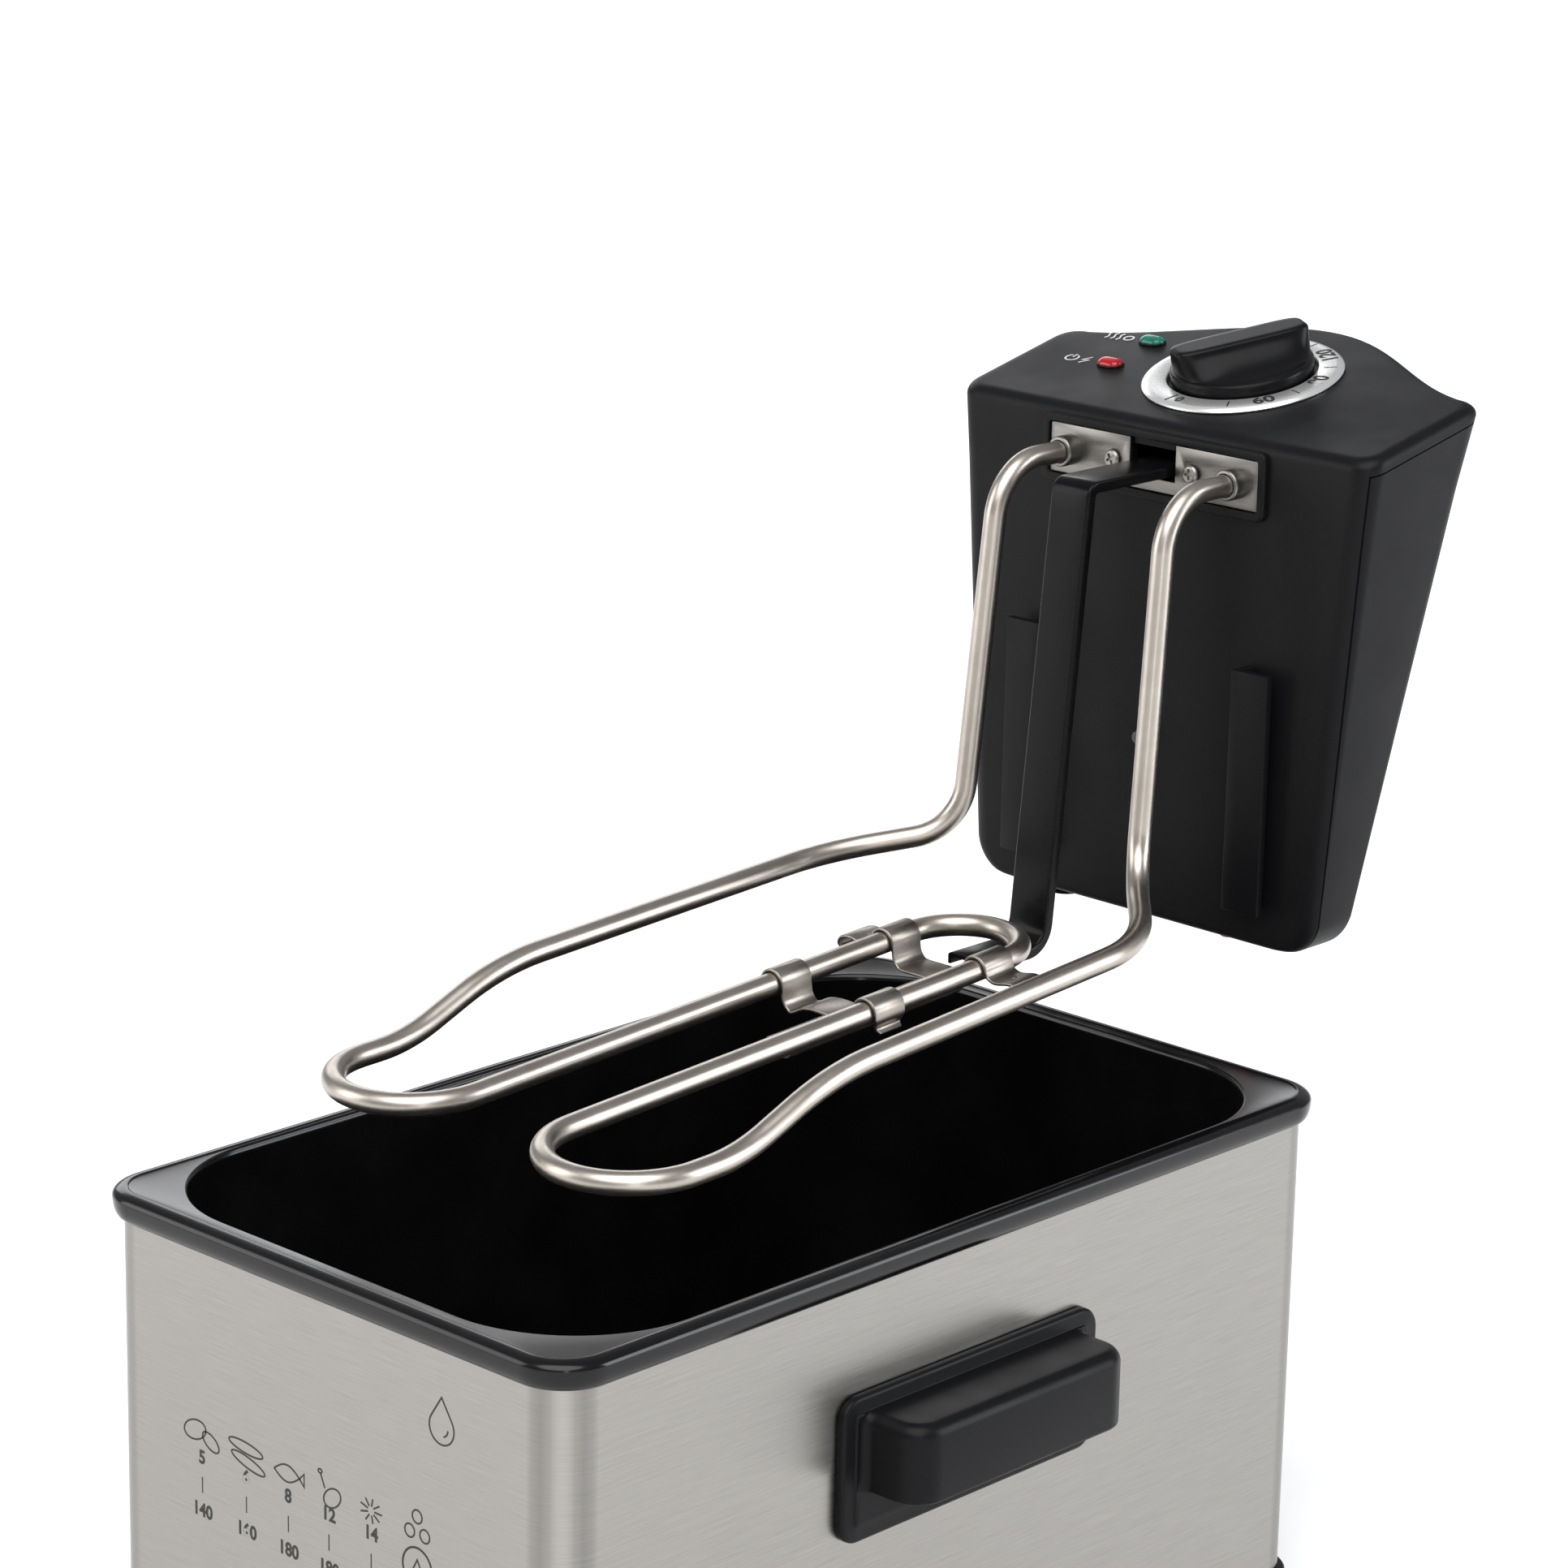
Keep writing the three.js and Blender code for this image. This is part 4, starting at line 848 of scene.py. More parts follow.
# Plan of the housing at its full size, inset all round.
def housingPlan(inset):
    half = housing["topWidth"] / 2 - inset
    front, rear = max(housing["faceCorner"] - inset * 0.6, 1.5), housing["rearCorner"]
    plan = [(x, y + inset) for x, y in arc(half - front, front, front, -pi / 2, 0, 10)]
    corner = half - rear
    cornerY = backAt(corner) - inset
    for i in range(9):
        t = i / 8
        plan.append((half - rear * t * t, cornerY - rear * (1 - t) ** 2))
    plan += [(corner * (1 - i / 16), backAt(corner * (1 - i / 16)) - inset) for i in range(1, 17)]
    return plan + [(-x, y) for x, y in reversed(plan[:-1])]


# The plan's points at one level: 0 is the bottom, 1 is the sloping top. Drop lowers the whole ring.
def housingRing(level, inset, drop=0.0, base=0.0):
    ring = []
    high = housing["height"] - base / cos(slope)
    half = housing["topWidth"] / 2 - inset
    for x, y in housingPlan(inset):
        topZ = high + y * tan(slope)
        ends = []
        for z in (base, topZ):
            width = widthAt(z)
            back = backAt(x)
            deep = inset + (y - inset) * (back * depthShare(z) - 2 * inset) / (back - 2 * inset)
            ends.append(Vector((x * (width / 2 - inset) / half, deep, z)))
        point = ends[0].lerp(ends[1], level)
        point.z -= drop
        corner = housing["footCorner"] - base
        rise = point.z - base
        if rise < corner:
            limit = widthAt(point.z) / 2 - inset
            tuck = corner - sqrt(max(corner ** 2 - (corner - rise) ** 2, 0))
            point.x *= (limit - tuck) / limit
        ring.append(tuple(point))
    return ring


def housingSolid(name, base, footRound, topRound):
    rings = [housingRing(0, base + footRound + 1.5, base=base)]
    tall = housing["ringHeight"]
    for a, b in quarterTurn(4, 1):
        rings.append(housingRing(footRound * b / tall, base + footRound * a, base=base))
    for rise in (2.6, 3.8, 5.2, 7, 9, 11, 13, 20):
        rings.append(housingRing((rise - base * 0.2) / tall, base, base=base))
    for level in (0.3, 0.5, 0.7, 0.85):
        rings.append(housingRing(level, base, base=base))
    for a, b in quarterTurn(6):
        rings.append(housingRing(1, base + topRound * b, topRound * a, base=base))
    for inset in (1.2, 4, 9, 14, 19):
        rings.append(housingRing(1, base + topRound + inset, base=base))
    return buildPiece(name, [loft(rings)], unitFrame, moulded)


# The face and top are one L-shaped shell. The region is that L seen from the side.
def faceRegion(air):
    wall = housing["wall"] + air
    seam = housing["height"] - housing["seamDrop"] - air
    near, far, high = -30, 120, 260
    side = [(near, near), (wall, near), (wall, seam + wall * tan(slope))]
    side += [(far, seam + far * tan(slope)), (far, high), (near, high)]
    rings = [[(x, y, z) for y, z in side] for x in (-140, 140)]
    return buildPiece("region", [loft(rings)], unitFrame, None)


dial = {"offset": 43.0, "radius": 33.0, "inner": 24.6, "height": 1.9, "holeRadius": 3.3}
lamps = {"x": -48.0, "near": -9.53, "far": 12.27, "halfWidth": 3.5, "halfLength": 2.2}
port = {"height": 149.3, "spread": 34.2, "radius": 3.9, "screwX": 16.2, "screwRadius": 1.8}
window = {"half": 9.35, "low": 145.4, "high": 155.3}
plunger = {"height": 60.0, "radius": 2.5}
# Holes in the bottom, as (x, radius): the reset button, the cord's gland and the two screws.
bottomHoles = ((30.0, 3.7), (-40.0, 4.8), (54.0, 2.0), (-54.0, 2.0))
bottomHoleY = 10.5
rail = {"near": 39.75, "far": 54.25, "web": 4.0, "depth": 7.0, "lip": 3.0, "low": 12.0, "high": 91.0}
dialHeight = housing["height"] + dial["offset"] * tan(slope)
dialFrame = unitFrame @ Matrix.Translation((0, dial["offset"], dialHeight))
dialFrame = dialFrame @ Matrix.Rotation(slope, 4, "X")


def railParts(side):
    web = block((rail["near"], -rail["depth"], rail["low"]), (rail["near"] + rail["web"], 1.2, rail["high"]))
    lipEnd = (rail["far"], rail["lip"] - rail["depth"], rail["high"])
    lip = block((rail["near"], -rail["depth"], rail["low"]), lipEnd)
    return onSide(side, web), onSide(side, lip)


# Bores through the face for the tube's two ends and the plate's two screws.
def portBores(tubeRadius):
    bores = []
    for side in (-1, 1):
        for x, radius in ((port["spread"], tubeRadius), (port["screwX"], port["screwRadius"])):
            bores.append(shifted(alongY(rod(radius, -9, 9)), x=side * x, z=port["height"]))
    return bores


def makeHousing():
    outer = housingSolid("housingFront", 0, housing["footRound"], housing["topRound"])
    inner = housingSolid("inner", housing["wall"], housing["footRound"], 1.5)
    combine(outer, inner, "DIFFERENCE")
    rear = outer.copy()
    rear.data = outer.data.copy()
    rear.name = "housingRear"
    bpy.context.scene.collection.objects.link(rear)
    combine(outer, faceRegion(0), "INTERSECT")
    combine(rear, faceRegion(housing["seamGap"]), "DIFFERENCE")
    onFace = [block((-window["half"], -5, window["low"]), (window["half"], 9, window["high"]))]
    onFace += portBores(port["radius"])
    onFace.append(shifted(alongY(rod(plunger["radius"], -9, 9)), z=plunger["height"]))
    cutAway(outer, onFace, unitFrame)
    onTop = [rod(dial["holeRadius"], -10, 5)]
    for y in (lamps["near"], lamps["far"]):
        x, width, length = lamps["x"], lamps["halfWidth"], lamps["halfLength"]
        onTop.append(block((x - width, y - length, -10), (x + width, y + length, 5)))
    cutAway(outer, onTop, dialFrame)
    inBottom = [rod(radius, -5, 8, centre=(x, bottomHoleY)) for x, radius in bottomHoles]
    cutAway(rear, inBottom, unitFrame)
    for side in (-1, 1):
        web, lip = railParts(side)
        track = buildPiece("track", [web], unitFrame, moulded)
        combine(track, buildPiece("lip", [lip], unitFrame, moulded), "UNION")
        softenEdges(track, 0.45, 2)
        combine(outer, track, "UNION")
        x = side * bottomHoles[2][0]
        boss = buildPiece("boss", [block((x - 4, 1.5, 2.8), (x + 4, 14.5, 14.5))], unitFrame, moulded)
        cutAway(boss, [rod(bottomHoles[2][1], 0, 11.5, centre=(x, bottomHoleY))], unitFrame)
        combine(outer, boss, "UNION")
    smooth(outer, 30)
    smooth(rear, 30)
    return outer, rear


housingFront, housingRear = makeHousing()
declare(housingFront, "control_unit", "black_plastic", "front_top_shell")
declare(housingRear, "control_unit", "black_plastic", "rear_shell")
print("housing made")

# Raised frame round the mounting plate.
bezel = {"halfWidth": 42.9, "halfHeight": 8.4, "band": 2.8, "depth": 2.2, "edge": 0.8}


def makeBezel():
    def ring(grow, depth, corner):
        width, height = 2 * (bezel["halfWidth"] + grow), 2 * (bezel["halfHeight"] + grow)
        outline = roundedOutline(width, height, corner, 6)
        return [(x, -depth, z + port["height"]) for x, z in outline]

    band, edge, deep = bezel["band"], bezel["edge"], bezel["depth"]
    rings = [ring(band, 0.3, 3)]
    turns = (0, 0.4, 0.8, 1.2, pi / 2)
    rings += [ring(band - edge * (1 - cos(t)), deep - edge * (1 - sin(t)), 3) for t in turns]
    rings += [ring(edge * (1 - sin(t)) * 0.6, deep - edge * (1 - cos(t)) * 0.6, 1.2) for t in turns]
    rings.append(ring(0, 0.3, 1.2))
    return buildPiece("elementBezel", [loft(rings, loop=True)], unitFrame, moulded)


declare(makeBezel(), "control_unit", "black_plastic", "element_bezel")

# Mounting plate with its notch, and a collar round each end of the tube.
plate = {"half": 42.6, "low": 141.2, "high": 157.4, "near": 0.3, "far": 1.5, "edge": 0.3}
collar = {"radius": 5.0, "length": 6.0, "bore": 3.9, "round": 0.8}


def makePlate():
    low, high = plate["low"], plate["high"]
    blank = block((-plate["half"], -plate["far"], low), (plate["half"], -plate["near"], high))
    piece = buildPiece("mountingPlate", [blank], unitFrame, plateSteel)
    notch = block((-window["half"], -5, window["low"]), (window["half"], 5, high + 5))
    cutAway(piece, [notch], unitFrame)
    cutAway(piece, portBores(collar["bore"]), unitFrame)
    softenEdges(piece, plate["edge"], 2, angle=60)
    start, end = plate["near"] + 0.3, plate["far"] + collar["length"]
    profile = [(collar["bore"], start), (collar["radius"], start), (collar["radius"], plate["far"] + 0.1)]
    profile += [(collar["radius"], end - collar["round"])]
    profile += [(collar["radius"] - 0.8 * (1 - cos(t)), end - 0.8 * (1 - sin(t))) for t in (0.5, 1.0, pi / 2)]
    profile.append((collar["bore"], end))
    for side in (-1, 1):
        tubeEnd = alongY(loft(turnedRings(profile, 36), loop=True))
        tubeEnd = shifted(tubeEnd, x=side * port["spread"], z=port["height"])
        combine(piece, buildPiece("collar", [tubeEnd], unitFrame, plateSteel), "UNION")
    smooth(piece, 30)
    return piece


declare(makePlate(), "control_unit", "stainless_plate", "mounting_plate")
print("bezel and plate made")


# Round bar along a line, by geometry nodes.
def barTree():
    tree, sockets, entry, realize = newTree("roundBar", [("Radius", "Float"), ("Sides", "Int")])
    nodes, links = tree.nodes, tree.links
    curve, sweep = nodes.new("GeometryNodeMeshToCurve"), nodes.new("GeometryNodeCurveToMesh")
    circle = nodes.new("GeometryNodeCurvePrimitiveCircle")
    sweep.inputs["Fill Caps"].default_value = True
    links.new(entry.outputs["Shape"], curve.inputs["Mesh"])
    links.new(entry.outputs["Radius"], circle.inputs["Radius"])
    links.new(entry.outputs["Sides"], circle.inputs["Resolution"])
    links.new(curve.outputs["Curve"], sweep.inputs["Curve"])
    links.new(circle.outputs["Curve"], sweep.inputs["Profile Curve"])
    links.new(sweep.outputs["Mesh"], realize.inputs["Geometry"])
    return tree, sockets


barMaker, barSockets = barTree()


def makeBar(name, line, radius, sides, finish, place=unitFrame):
    mesh = bpy.data.meshes.new(name)
    points = [place @ point * millimetre for point in line]
    mesh.from_pydata(points, [(i, i + 1) for i in range(len(points) - 1)], [])
    piece = linked(name, mesh)
    values = {"Radius": radius * millimetre, "Sides": sides, "Finish": finish}
    growPiece(piece, barMaker, barSockets, values)
    smooth(piece, 50)
    return piece


# The element: one loop of tube. Each point ends with its bend's radius, and the left is the right mirrored.
element = {
    "radius": 3.6, "outer": 69.5, "inner": 19.5, "reach": 301.0, "back": 69.0, "level": 9.0, "low": -2.5,
}
elementRight = [
    (port["spread"], 14.5, port["height"], 0),
    (port["spread"], -35.5, port["height"], 19),
    (36.8, -46.5, 30, 20),
    (67, -79, 22, 45),
    (element["outer"], -220, 14, 100),
    (element["outer"], -258, element["low"] + 1, 60),
    (element["outer"], -element["reach"], element["low"], 25),
    (element["inner"], -element["reach"], element["low"], 25),
    (element["inner"], -element["back"], element["level"], element["inner"]),
]
elementLeft = [(-x, y, z, bend) for x, y, z, bend in reversed(elementRight)]
elementTube = makeBar(
    "elementTube", bentLine(elementRight + elementLeft, 2.5, 14), element["radius"], 28, tubeNickel,
)
declare(elementTube, "control_unit", "satin_nickel", "heating_element")

# Guard for the capillaries: a channel, drawn as its section and carried along its bent line.
guard = {"width": 15.5, "sheet": 1.2, "flange": 3.6, "round": 0.9, "top": 149.9, "low": 2.5}


def channelSection():
    half, sheet, bend = guard["width"] / 2, guard["sheet"], guard["round"]
    deep = guard["flange"] - sheet / 2
    side = arc(half - bend, bend - sheet / 2, bend, -pi / 2, 0, 4)
    side += [(half, deep - 0.2), (half - 0.2, deep), (half - sheet + 0.2, deep), (half - sheet, deep - 0.2)]
    side += arc(half - sheet - 0.4, sheet / 2 + 0.4, 0.4, 0, -pi / 2, 3)
    return side + [(-x, y) for x, y in reversed(side)]


# Carries a section (across in X, out along the line's left) along a line in Y and Z.
def sweepSection(section, line, narrow=None):
    rings = []
    for i, point in enumerate(line):
        before, after = line[max(i - 1, 0)], line[min(i + 1, len(line) - 1)]
        along = (after - before).normalized()
        side = Vector((-along.y, along.x))
        share = narrow(i / (len(line) - 1)) if narrow else 1
        rings.append([(x * share, point.x + side.x * out, point.y + side.y * out) for x, out in section])
    return loft(rings)


def makeGuard():
    top, low = guard["top"], guard["low"]
    path = [(7.5, top, 0), (-40.6, top, 4.4), (-55.4, low, 7.5), (-84, low, 0)]
    part = sweepSection(channelSection(), bentLine(path, 6, 10))
    return buildPiece("sensorGuard", [part], unitFrame, guardPaint, smoothAngle=40)


declare(makeGuard(), "control_unit", "black_steel", "sensor_guard")
print("element and guard made")

# Clips over the two inner rods. The strip is drawn in X and Z and is as wide as the clip along Y.
clip = {
    "width": 13.0, "sheet": 1.0, "saddle": -7.4, "wrap": 4.4, "dimple": 1.1, "rearY": -96, "middleY": -146,
}
rodSlope = 11.5 / 232


def clipLine(hump, hooked):
    inner, outer = element["inner"] - clip["wrap"], element["inner"] + clip["wrap"]
    saddle = clip["saddle"]
    half = [(0, saddle + hump), (6, saddle + hump * 0.8), (inner - 4, saddle)]
    half += [(inner - 2, saddle + 0.6), (inner - 0.4, saddle + 3)]
    half += reversed(arc(element["inner"], 0, clip["wrap"], 0, pi, 8))
    if hooked:
        half += [(outer + 1, -1.6), (outer + 4, -2.4), (outer + 10, -1.4)]
        half += [(outer + 14, -2.6), (outer + 15.5, -5.2), (outer + 13.5, -7)]
    else:
        half += [(outer, -2.2), (outer - 1, -4.6), (outer + 0.4, -6.2)]
    points = [Vector(point) for point in [(-x, z) for x, z in reversed(half[1:])] + half]
    line = []
    for i in range(len(points) - 1):
        a, b, c, d = points[max(i - 1, 0)], points[i], points[i + 1], points[min(i + 2, len(points) - 1)]
        for k in range(4):
            t = k / 4
            bow, twist = 2 * a - 5 * b + 4 * c - d, 3 * b - a - 3 * c + d
            line.append(0.5 * (2 * b + (c - a) * t + bow * t * t + twist * t ** 3))
    return line + [points[-1]]


def makeClip(name, y, hump, hooked):
    def narrow(t):
        return 1 - 0.28 * max(0, abs(2 * t - 1) - 0.86) / 0.14

    section = roundedOutline(clip["width"], clip["sheet"], 0.35, 3)
    points, faces = sweepSection(section, clipLine(hump, hooked), narrow)
    parts = [([(py, -px, pz) for px, py, pz in points], faces)]
    tilt = Matrix.Translation((0, y, element["level"] + (y + element["back"]) * rodSlope))
    place = unitFrame @ tilt @ Matrix.Rotation(atan(rodSlope), 4, "X")
    flange = element["inner"] + clip["wrap"] + 6.5
    for x in (-flange, flange) if hooked else ():
        dome = [(0.2, -0.6), (clip["dimple"], -0.4)]
        dome += [(clip["dimple"] * cos(t), 0.5 + 0.5 * sin(t)) for t in (0.2, 0.6, 1.0, 1.4)]
        parts.append(shifted(loft(turnedRings(dome, 16)), x=x, z=-2.1))
    return buildPiece(name, parts, place, clipNickel, smoothAngle=40)


declare(makeClip("rearClip", clip["rearY"], 0, True), "control_unit", "satin_nickel", "clip_rear")
declare(makeClip("middleClip", clip["middleY"], 3, False), "control_unit", "satin_nickel", "clip_middle")

# Dial ring, with its numbers and marks, and the knob.
dialMarks = {
    "numbers": ("60", "90", "120", "150", "190"), "start": -38.0, "step": 45.5, "height": 5.4, "radius": 28.6,
    "boldness": 0.2, "tick": (26.6, 30.8), "stop": (26, 31.4),
}


def makeDialRing():
    radius, inner, top = dial["radius"], dial["inner"], dial["height"]
    profile = [(inner, 0.3), (radius, 0.3), (radius, 0.6), (radius - 0.3, 1.0), (radius - 1.2, top - 0.25)]
    profile += [(radius - 1.9, top - 0.04), (radius - 2.6, top), (inner + 0.7, top)]
    profile += [(inner + 0.25, top - 0.15), (inner, top - 0.5)]
    sides = 128
    piece = buildPiece("dialRing", [loft(turnedRings(profile, sides), loop=True)], dialFrame, dialSilver)
    polar = piece.data.attributes.new("polar", "FLOAT_VECTOR", "POINT")
    toDial = dialFrame.inverted()
    for i, vertex in enumerate(piece.data.vertices):
        local = toDial @ (vertex.co / millimetre)
        turn = abs(atan2(local.y, local.x))
        polar.data[i].vector = (hypot(local.x, local.y) * millimetre, turn, local.z * millimetre)
    return piece


# Figures as thin inked solids, for the dial and for the casing.
def textPart(text, height):
    font = bpy.data.curves.new("figures", "FONT")
    font.body = text
    font.size = height * 1.35
    font.align_x, font.align_y = "CENTER", "CENTER"
    font.extrude = 0.02
    font.offset = dialMarks["boldness"]
    holder = linked("figures", font)
    bpy.context.view_layer.update()
    mesh = bpy.data.meshes.new_from_object(holder.evaluated_get(bpy.context.evaluated_depsgraph_get()))
    shape = bmesh.new()
    shape.from_mesh(mesh)
    bmesh.ops.remove_doubles(shape, verts=shape.verts, dist=1e-4)
    shape.to_mesh(mesh)
    shape.free()
    part = [tuple(v.co) for v in mesh.vertices], [tuple(p.vertices) for p in mesh.polygons]
    bpy.data.objects.remove(holder)
    bpy.data.meshes.remove(mesh)
    return part


def turnedPart(part, matrix):
    return [tuple(matrix @ Vector(point)) for point in part[0]], part[1]


# A stroke of ink along a flat line.
def inkStroke(points, width=0.5, closed=False, thick=0.04):
    line = [Vector(point) for point in points]
    count = len(line)
    sides = [[], []]
    for i, point in enumerate(line):
        before = line[(i - 1) % count] if closed or i else point
        after = line[(i + 1) % count] if closed or i < count - 1 else point
        first, second = (point - before), (after - point)
        if first.length == 0:
            first = second
        if second.length == 0:
            second = first
        along = (first.normalized() + second.normalized()).normalized()
        across = Vector((-along.y, along.x))
        reach = width / 2 / max(across.dot(Vector((-first.y, first.x)).normalized()), 0.5)
        sides[0].append(point + across * reach)
        sides[1].append(point - across * reach)
    points = [(*point, 0) for point in sides[0] + sides[1]]
    points += [(x, y, thick) for x, y, _ in points]
    top = 2 * count
    faces = []
    for i in range(count if closed else count - 1):
        j = (i + 1) % count
        a, b, c, d = i, j, count + j, count + i
        faces += [(a, b, c, d), (a + top, b + top, c + top, d + top)]
        faces += [(a, b, b + top, a + top), (d, c, c + top, d + top)]
    if not closed:
        faces += [(0, count, count + top, top), (count - 1, top - 1, top - 1 + top, count - 1 + top)]
    return points, faces


def ovalPoints(x, y, width, height, turn=0.0, steps=24):
    points = []
    for i in range(steps):
        t = 2 * pi * i / steps
        u, v = width / 2 * cos(t), height / 2 * sin(t)
        points.append((x + u * cos(turn) - v * sin(turn), y + u * sin(turn) + v * cos(turn)))
    return points


def makeDialPrint():
    top = dial["height"] + 0.015
    parts = []

    def addNumber(text, height, radius, angle):
        spin = Matrix.Rotation(angle, 4, "Z") @ Matrix.Translation((radius, 0, top + 0.02))
        parts.append(turnedPart(textPart(text, height), spin @ Matrix.Rotation(pi / 2, 4, "Z")))

    def addTick(reach, width, angle):
        spin = Matrix.Rotation(angle, 4, "Z") @ Matrix.Translation((0, 0, top))
        parts.append(turnedPart(inkStroke([(reach[0], 0), (reach[1], 0)], width), spin))

    start, step = dialMarks["start"], dialMarks["step"]
    for i, number in enumerate(dialMarks["numbers"]):
        addNumber(number, dialMarks["height"], dialMarks["radius"], radians(start + i * step))
    for i in range(-1, 5):
        addTick(dialMarks["tick"], 0.45, radians(start + (i + 0.5) * step))
    angle = radians(start - 1.45 * step)
    addTick(dialMarks["stop"], 0.7, angle)
    addNumber("0", 3.6, 28.7, angle + 0.13)
    return buildPiece("dialNumbers", parts, dialFrame, blackInk)


declare(makeDialRing(), "control_unit", "satin_aluminium", "dial_ring")
declare(makeDialPrint(), "control_unit", "satin_aluminium")

knob = {
    "radius": 23.4, "skirt": 5.2, "top": 13.3, "base": 1.0, "halfLength": 23.0, "halfWidth": 6.4,
    "square": 5.0, "turn": 61.0, "topRound": 1.5, "scoop": 2.8, "points": 144,
}


def barOutline(inset):
    points = []
    a, b = knob["halfLength"] - inset, knob["halfWidth"] - inset
    for i in range(knob["points"]):
        t = 2 * pi * i / knob["points"]
        u, v = cos(t), sin(t)
        x, y = a * abs(u) ** (2 / knob["square"]), b * abs(v) ** (2 / knob["square"])
        points.append((x if u >= 0 else -x, y if v >= 0 else -y))
    return points


def makeKnob():
    base, radius = knob["base"], knob["radius"]
    top = base + knob["top"]
    turns = [2 * pi * i / knob["points"] for i in range(knob["points"])]
    disc = [(radius * cos(turn), radius * sin(turn)) for turn in turns]
    bend = base + knob["skirt"] - 2.2

    def discRing(share, height):
        return [(x * share, y * share, height) for x, y in disc]

    rings = [discRing(0.9, base), discRing(0.985, base), discRing(1, base + 0.4), discRing(1, bend)]
    rings += [discRing(1 - 0.05 * (1 - cos(t)), bend + 1.5 * sin(t)) for t in (0.4, 0.8, 1.2)]
    edge = discRing(0.955, base + knob["skirt"] - 0.65)
    shoulderHeight = top - knob["topRound"]
    bar = barOutline(0)
    for i in range(13):
        t = i / 12
        rise = t ** knob["scoop"]
        ring = []
        for (x, y, z), (u, v) in zip(edge, bar):
            ring.append((blend(x, u, t), blend(y, v, t), blend(z, shoulderHeight, rise)))
        rings.append(ring)
    for i in range(1, 6):
        t = pi / 2 * i / 5
        inset = knob["topRound"] * (1 - cos(t))
        rings.append(lift(barOutline(inset), shoulderHeight + knob["topRound"] * sin(t)))
    rings.append(lift(barOutline(knob["topRound"] + 1.2), top))
    place = dialFrame @ Matrix.Rotation(radians(knob["turn"]), 4, "Z")
    piece = buildPiece("controlKnob", [loft(rings)], place, knobPlastic, 38)
    cutAway(piece, [rod(dial["holeRadius"], base - 1, top - 6)], dialFrame)
    smooth(piece, 38)
    return piece


declare(makeKnob(), "knob", "black_plastic", "knob")

# Lamp lenses, each with a dark rim, and the marks beside them.
lens = {"length": 10.0, "width": 6.6, "height": 2.2, "rim": 0.45}


def makeLens(name, y, glass):
    def ring(inset, height):
        corner = lens["width"] / 2 - 0.1 - inset
        outline = roundedOutline(lens["length"] - 2 * inset, lens["width"] - 2 * inset, corner, 10)
        return [(px + lamps["x"], py + y, height) for px, py in outline]

    rim = lens["rim"]
    edge = [ring(0, 0.3), ring(0, 0.55), ring(0.2, 0.8), ring(rim, 0.8), ring(rim, 0.4), ring(rim, 0.3)]
    dome = [ring(1.5, -3.4), ring(1.4, 0.2), ring(rim + 0.02, 0.25), ring(rim + 0.02, 0.6)]
    for i in range(1, 7):
        t = pi / 2 * i / 6
        dome.append(ring(rim + 1.9 * (1 - cos(t)), 0.6 + (lens["height"] - 0.6) * sin(t)))
    piece = buildPiece(name, [loft(dome)], dialFrame, glass, 50)
    band = buildPiece(name + "Rim", [loft(edge, loop=True)], dialFrame, knobPlastic, 40)
    return piece, band


lensPlaces = (("green", lamps["far"], greenGlass), ("red", lamps["near"], redGlass))
for colourName, place, glass in lensPlaces:
    dome, band = makeLens(f"{colourName}Lens", place, glass)
    declare(dome, "control_unit", f"{colourName}_lens", f"lamp_lens_{colourName}")
    declare(band, "control_unit", "black_plastic")


lampSigns = {"width": 0.55, "thick": 0.22}


# Small signs in place of words: waves and a dot for heat, an open ring and a bolt for power.
def makeLampMarks():
    parts = []
    x = lamps["x"] - 13.5
    width, y = lampSigns["width"], lamps["near"]
    turns = [pi / 2 + 0.5 + (2 * pi - 1.0) * i / 20 for i in range(21)]
    ring = [(x - 3 + 2.3 * cos(t), y + 2.3 * sin(t)) for t in turns]
    bolt = [(x + 3.6, y + 2.8), (x + 1.6, y - 0.2), (x + 4, y + 0.2), (x + 2, y - 2.8)]
    for line in (ring, [(x - 3, y + 0.4), (x - 3, y + 3)], bolt):
        parts.append(inkStroke(line, width, thick=lampSigns["thick"]))
    y = lamps["far"]
    for k in range(3):
        wave = [(x - 5 + k * 2.4 + 0.5 * sin(2 * pi * i / 12), y - 2.6 + 5.2 * i / 12) for i in range(13)]
        parts.append(inkStroke(wave, width, thick=lampSigns["thick"]))
    parts.append(inkStroke(ovalPoints(x + 3.4, y, 3.4, 3.4), width, True, lampSigns["thick"]))
    return buildPiece("lampMarks", parts, dialFrame, whiteInk)


declare(makeLampMarks(), "control_unit", "black_plastic")
print("dial, knob and lamps made")

# Printing on the casing's end: six columns of plain food signs, numbers and temperatures.
signs = {
    "columns": (-53.6, -34.0, -15.6, 1.9, 19.8, 39.0), "top": -66.0, "number": -73.0,
    "line": (-79.0, -84.0), "temperature": -89.6, "figure": 4.3, "ink": 0.55, "dropPlace": (49, -30),
}
signNumbers = (("5", "140"), ("6", "160"), ("8", "180"), ("12", "180"), ("14", "180"))


def ink(points, closed=False):
    return inkStroke(points, signs["ink"], closed)


def inkOval(*sizes):
    return ink(ovalPoints(*sizes), True)


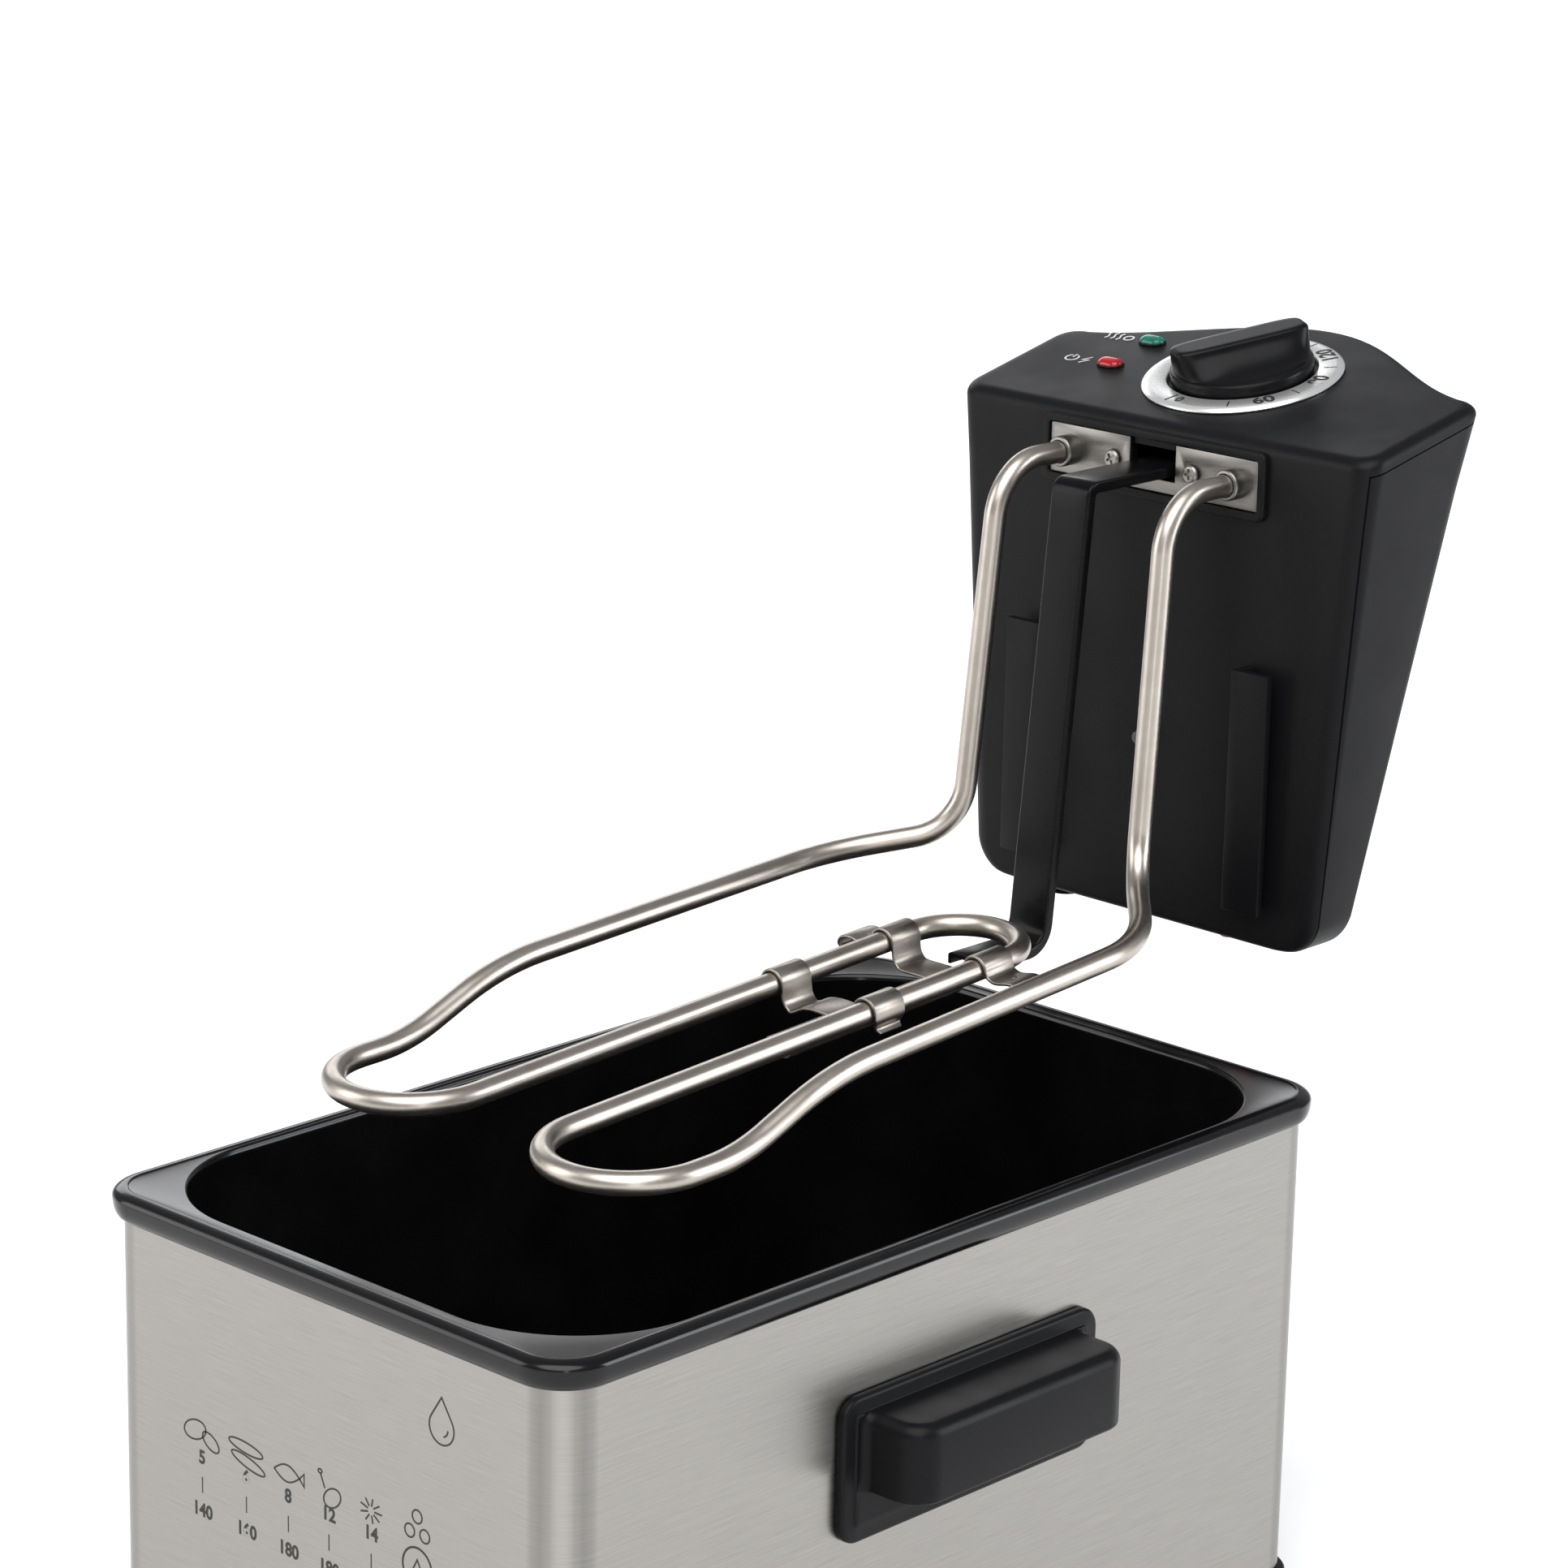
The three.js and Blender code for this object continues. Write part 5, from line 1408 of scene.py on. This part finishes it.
def signShapes():
    chips = [inkOval(-3, 1, 10, 6, 0.3), inkOval(4, -1, 8, 4.4, -0.5)]
    sticks = [inkOval(0, 2.2, 15, 3.4, -0.1), inkOval(1, -2.2, 15, 3.4, -0.22)]
    body = [(-6, 0)] + [(-6 + i, 2.6 * sin(pi * i / 11)) for i in range(1, 11)]
    body += [(5, 0), (7, 2), (7, -2), (5, 0)]
    fish = [ink(body), ink([(-6 + i, -2.6 * sin(pi * i / 11)) for i in range(12)])]
    leg = [inkOval(1.5, -1.5, 8, 5.4, 0.6), ink([(-1.6, 0.6), (-3.4, 4.6)]), inkOval(-3.6, 5.3, 1.6, 1.2)]
    turns = [2 * pi * i / 9 for i in range(9)]
    burst = [ink([(1.4 * cos(t), 1.4 * sin(t)), (4.6 * cos(t), 3.8 * sin(t))]) for t in turns]
    rings = [inkOval(x, z, 4, 4) for x, z in ((0, 4.4), (-3.1, -0.6), (3.1, -0.6))]
    rings.append(inkStroke(ovalPoints(0, -11, 12, 12, steps=36), 0.7, True))
    rings.append(ink([(-2.4, -13), (0, -8.6), (2.4, -13)], True))
    return chips, sticks, fish, leg, burst, rings


# Stands a flat drawing up on the casing's end, at a place measured from the rim.
def onCasingEnd(part, x, z):
    skin = -casingLength / 2 - 0.015
    return [(px + x, skin - pz, py + z + rimTop) for px, py, pz in part[0]], part[1]


def makeCasingPrint():
    parts = []
    for i, (x, shapes) in enumerate(zip(signs["columns"], signShapes())):
        parts += [onCasingEnd(shape, x, signs["top"]) for shape in shapes]
        if i < len(signNumbers):
            number, temperature = signNumbers[i]
            parts.append(onCasingEnd(textPart(number, signs["figure"]), x, signs["number"]))
            divider = inkStroke([(0, z) for z in signs["line"]], 0.4)
            parts.append(onCasingEnd(divider, x, 0))
            parts.append(onCasingEnd(textPart(temperature, signs["figure"]), x, signs["temperature"]))
    turns = [2.2 - 4.4 * i / 18 for i in range(19)]
    drop = [(0, 7)] + [(5 * sin(t), -2 - 5 * cos(t)) for t in turns]
    gleam = [(2.6 * sin(t), -2 - 2.6 * cos(t)) for t in (1.5, 1.1, 0.7, 0.3)]
    parts.append(onCasingEnd(ink(drop, True), *signs["dropPlace"]))
    parts.append(onCasingEnd(ink(gleam), *signs["dropPlace"]))
    return buildPiece("casingPrint", parts, standFrame, blackInk)


declare(makeCasingPrint(), "base", "brushed_casing")
print("printing made")

# Small pieces of the control unit: name, node, softened edge, finish, body and slot.
for name, node, width, finish, body, slotName in (
    ("cableGland", "cable_gland", 0.5, moulded, "control_unit", "black_plastic"),
    ("thermostatBody", "thermostat_body", 0.6, ceramic, "control_unit", "pale_ceramic"),
    ("thermalCutout", "thermal_cutout", 0.5, ceramic, "control_unit", "pale_ceramic"),
    ("interlockSwitch", "interlock_switch", 0.5, switchPlastic, "control_unit", "switch_plastic"),
    ("terminalBlock", "terminal_block", 0.5, ceramic, "control_unit", "pale_ceramic"),
    ("resetButton", "reset_button", 0.5, redPlastic, "reset_button", "red_plastic"),
    ("interlockPlunger", "interlock_plunger", 0.4, switchPlastic, "interlock_plunger", "switch_plastic"),
):
    declare(refineNode(name, node, width, finish), body, slotName, node)

# Inner nodes that keep their own shape and only get a finish.
keptNodes = {
    "thermostat_bulb": clipNickel, "cutout_bulb": clipNickel, "wire_live": brownSkin,
    "wire_neutral": blueSkin, "element_lead_left": whiteSleeve, "element_lead_right": whiteSleeve,
    "thermostat_shaft": aluminium,
    "neon_lamp_green": lampGlow, "neon_lamp_red": lampGlow,
}
for node, finish in keptNodes.items():
    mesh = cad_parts[node].data
    mesh.materials.clear()
    mesh.materials.append(finish)
print("small pieces made")

# Floor, light and camera.
studio = {"floor": 120.0, "floorTone": 0.96, "world": 0.36, "sun": 3.3, "sunSpread": 60.0}


def makeFloor():
    half = studio["floor"] / 2
    mesh = bpy.data.meshes.new("studioFloor")
    sheet = [(-half, -half, 0), (half, -half, 0), (half, half, 0), (-half, half, 0)]
    mesh.from_pydata(sheet, [], [(0, 1, 2, 3)])
    floor = linked("studioFloor", mesh)
    tone = studio["floorTone"]
    mesh.materials.append(simpleFinish("paleFloor", (tone * 0.99,) * 3, (tone,) * 3, 0.8, grain=40, bump=0.0))


def addArea(name, place, target, width, height, power, tint=(1, 1, 1)):
    data = bpy.data.lights.new(name, "AREA")
    data.shape = "RECTANGLE"
    data.size, data.size_y = width, height
    data.energy = power
    data.color = tint
    light = linked(name, data)
    light.location = place
    light.rotation_euler = (Vector(target) - Vector(place)).to_track_quat("-Z", "Y").to_euler()
    light.visible_camera = False


def makeLight():
    world = bpy.data.worlds.new("studioWorld")
    bpy.context.scene.world = world
    world.use_nodes = True
    world.node_tree.nodes["Background"].inputs["Color"].default_value = (0.96, 0.97, 1.0, 1)
    world.node_tree.nodes["Background"].inputs["Strength"].default_value = studio["world"]
    sun = bpy.data.lights.new("softSun", "SUN")
    sun.energy = studio["sun"]
    sun.angle = radians(studio["sunSpread"])
    linked("softSun", sun).rotation_euler = (radians(26), radians(20), 0)
    addArea("keyLight", (-1.5, -1.6, 1.0), (0, 0, 0.2), 1.2, 1.6, 21, (1.0, 0.985, 0.96))
    addArea("sideLight", (1.9, 1.5, 0.9), (0, 0, 0.2), 0.9, 1.6, 33, (0.93, 0.965, 1.0))
    addArea("backLight", (-2.7, 1.7, 1.35), (0, 0, 0.3), 2.2, 1.1, 19, (0.98, 0.99, 1.0))
    addArea("edgeLight", (1.75, -1.55, 0.7), (0, 0, 0.1), 0.1, 1.4, 5, (1.0, 0.99, 0.97))


view = {
    "azimuth": 43.43, "elevation": 15.74, "roll": 1.12, "lens": 113.74, "place": (0.9795, -1.0711, 0.6837),
}


def makeCamera():
    data = bpy.data.cameras.new("camera")
    data.lens = view["lens"]
    data.sensor_width = 36
    data.clip_end = 300
    camera = linked("camera", data)
    turn = Matrix.Rotation(radians(view["azimuth"]), 4, "Z")
    turn = turn @ Matrix.Rotation(radians(90 - view["elevation"]), 4, "X")
    turn = turn @ Matrix.Rotation(radians(view["roll"]), 4, "Z")
    camera.matrix_world = Matrix.Translation(view["place"]) @ turn
    bpy.context.scene.camera = camera


makeFloor()
makeLight()
makeCamera()
bpy.context.scene.view_settings.view_transform = "Standard"
print("floor, light and camera set")
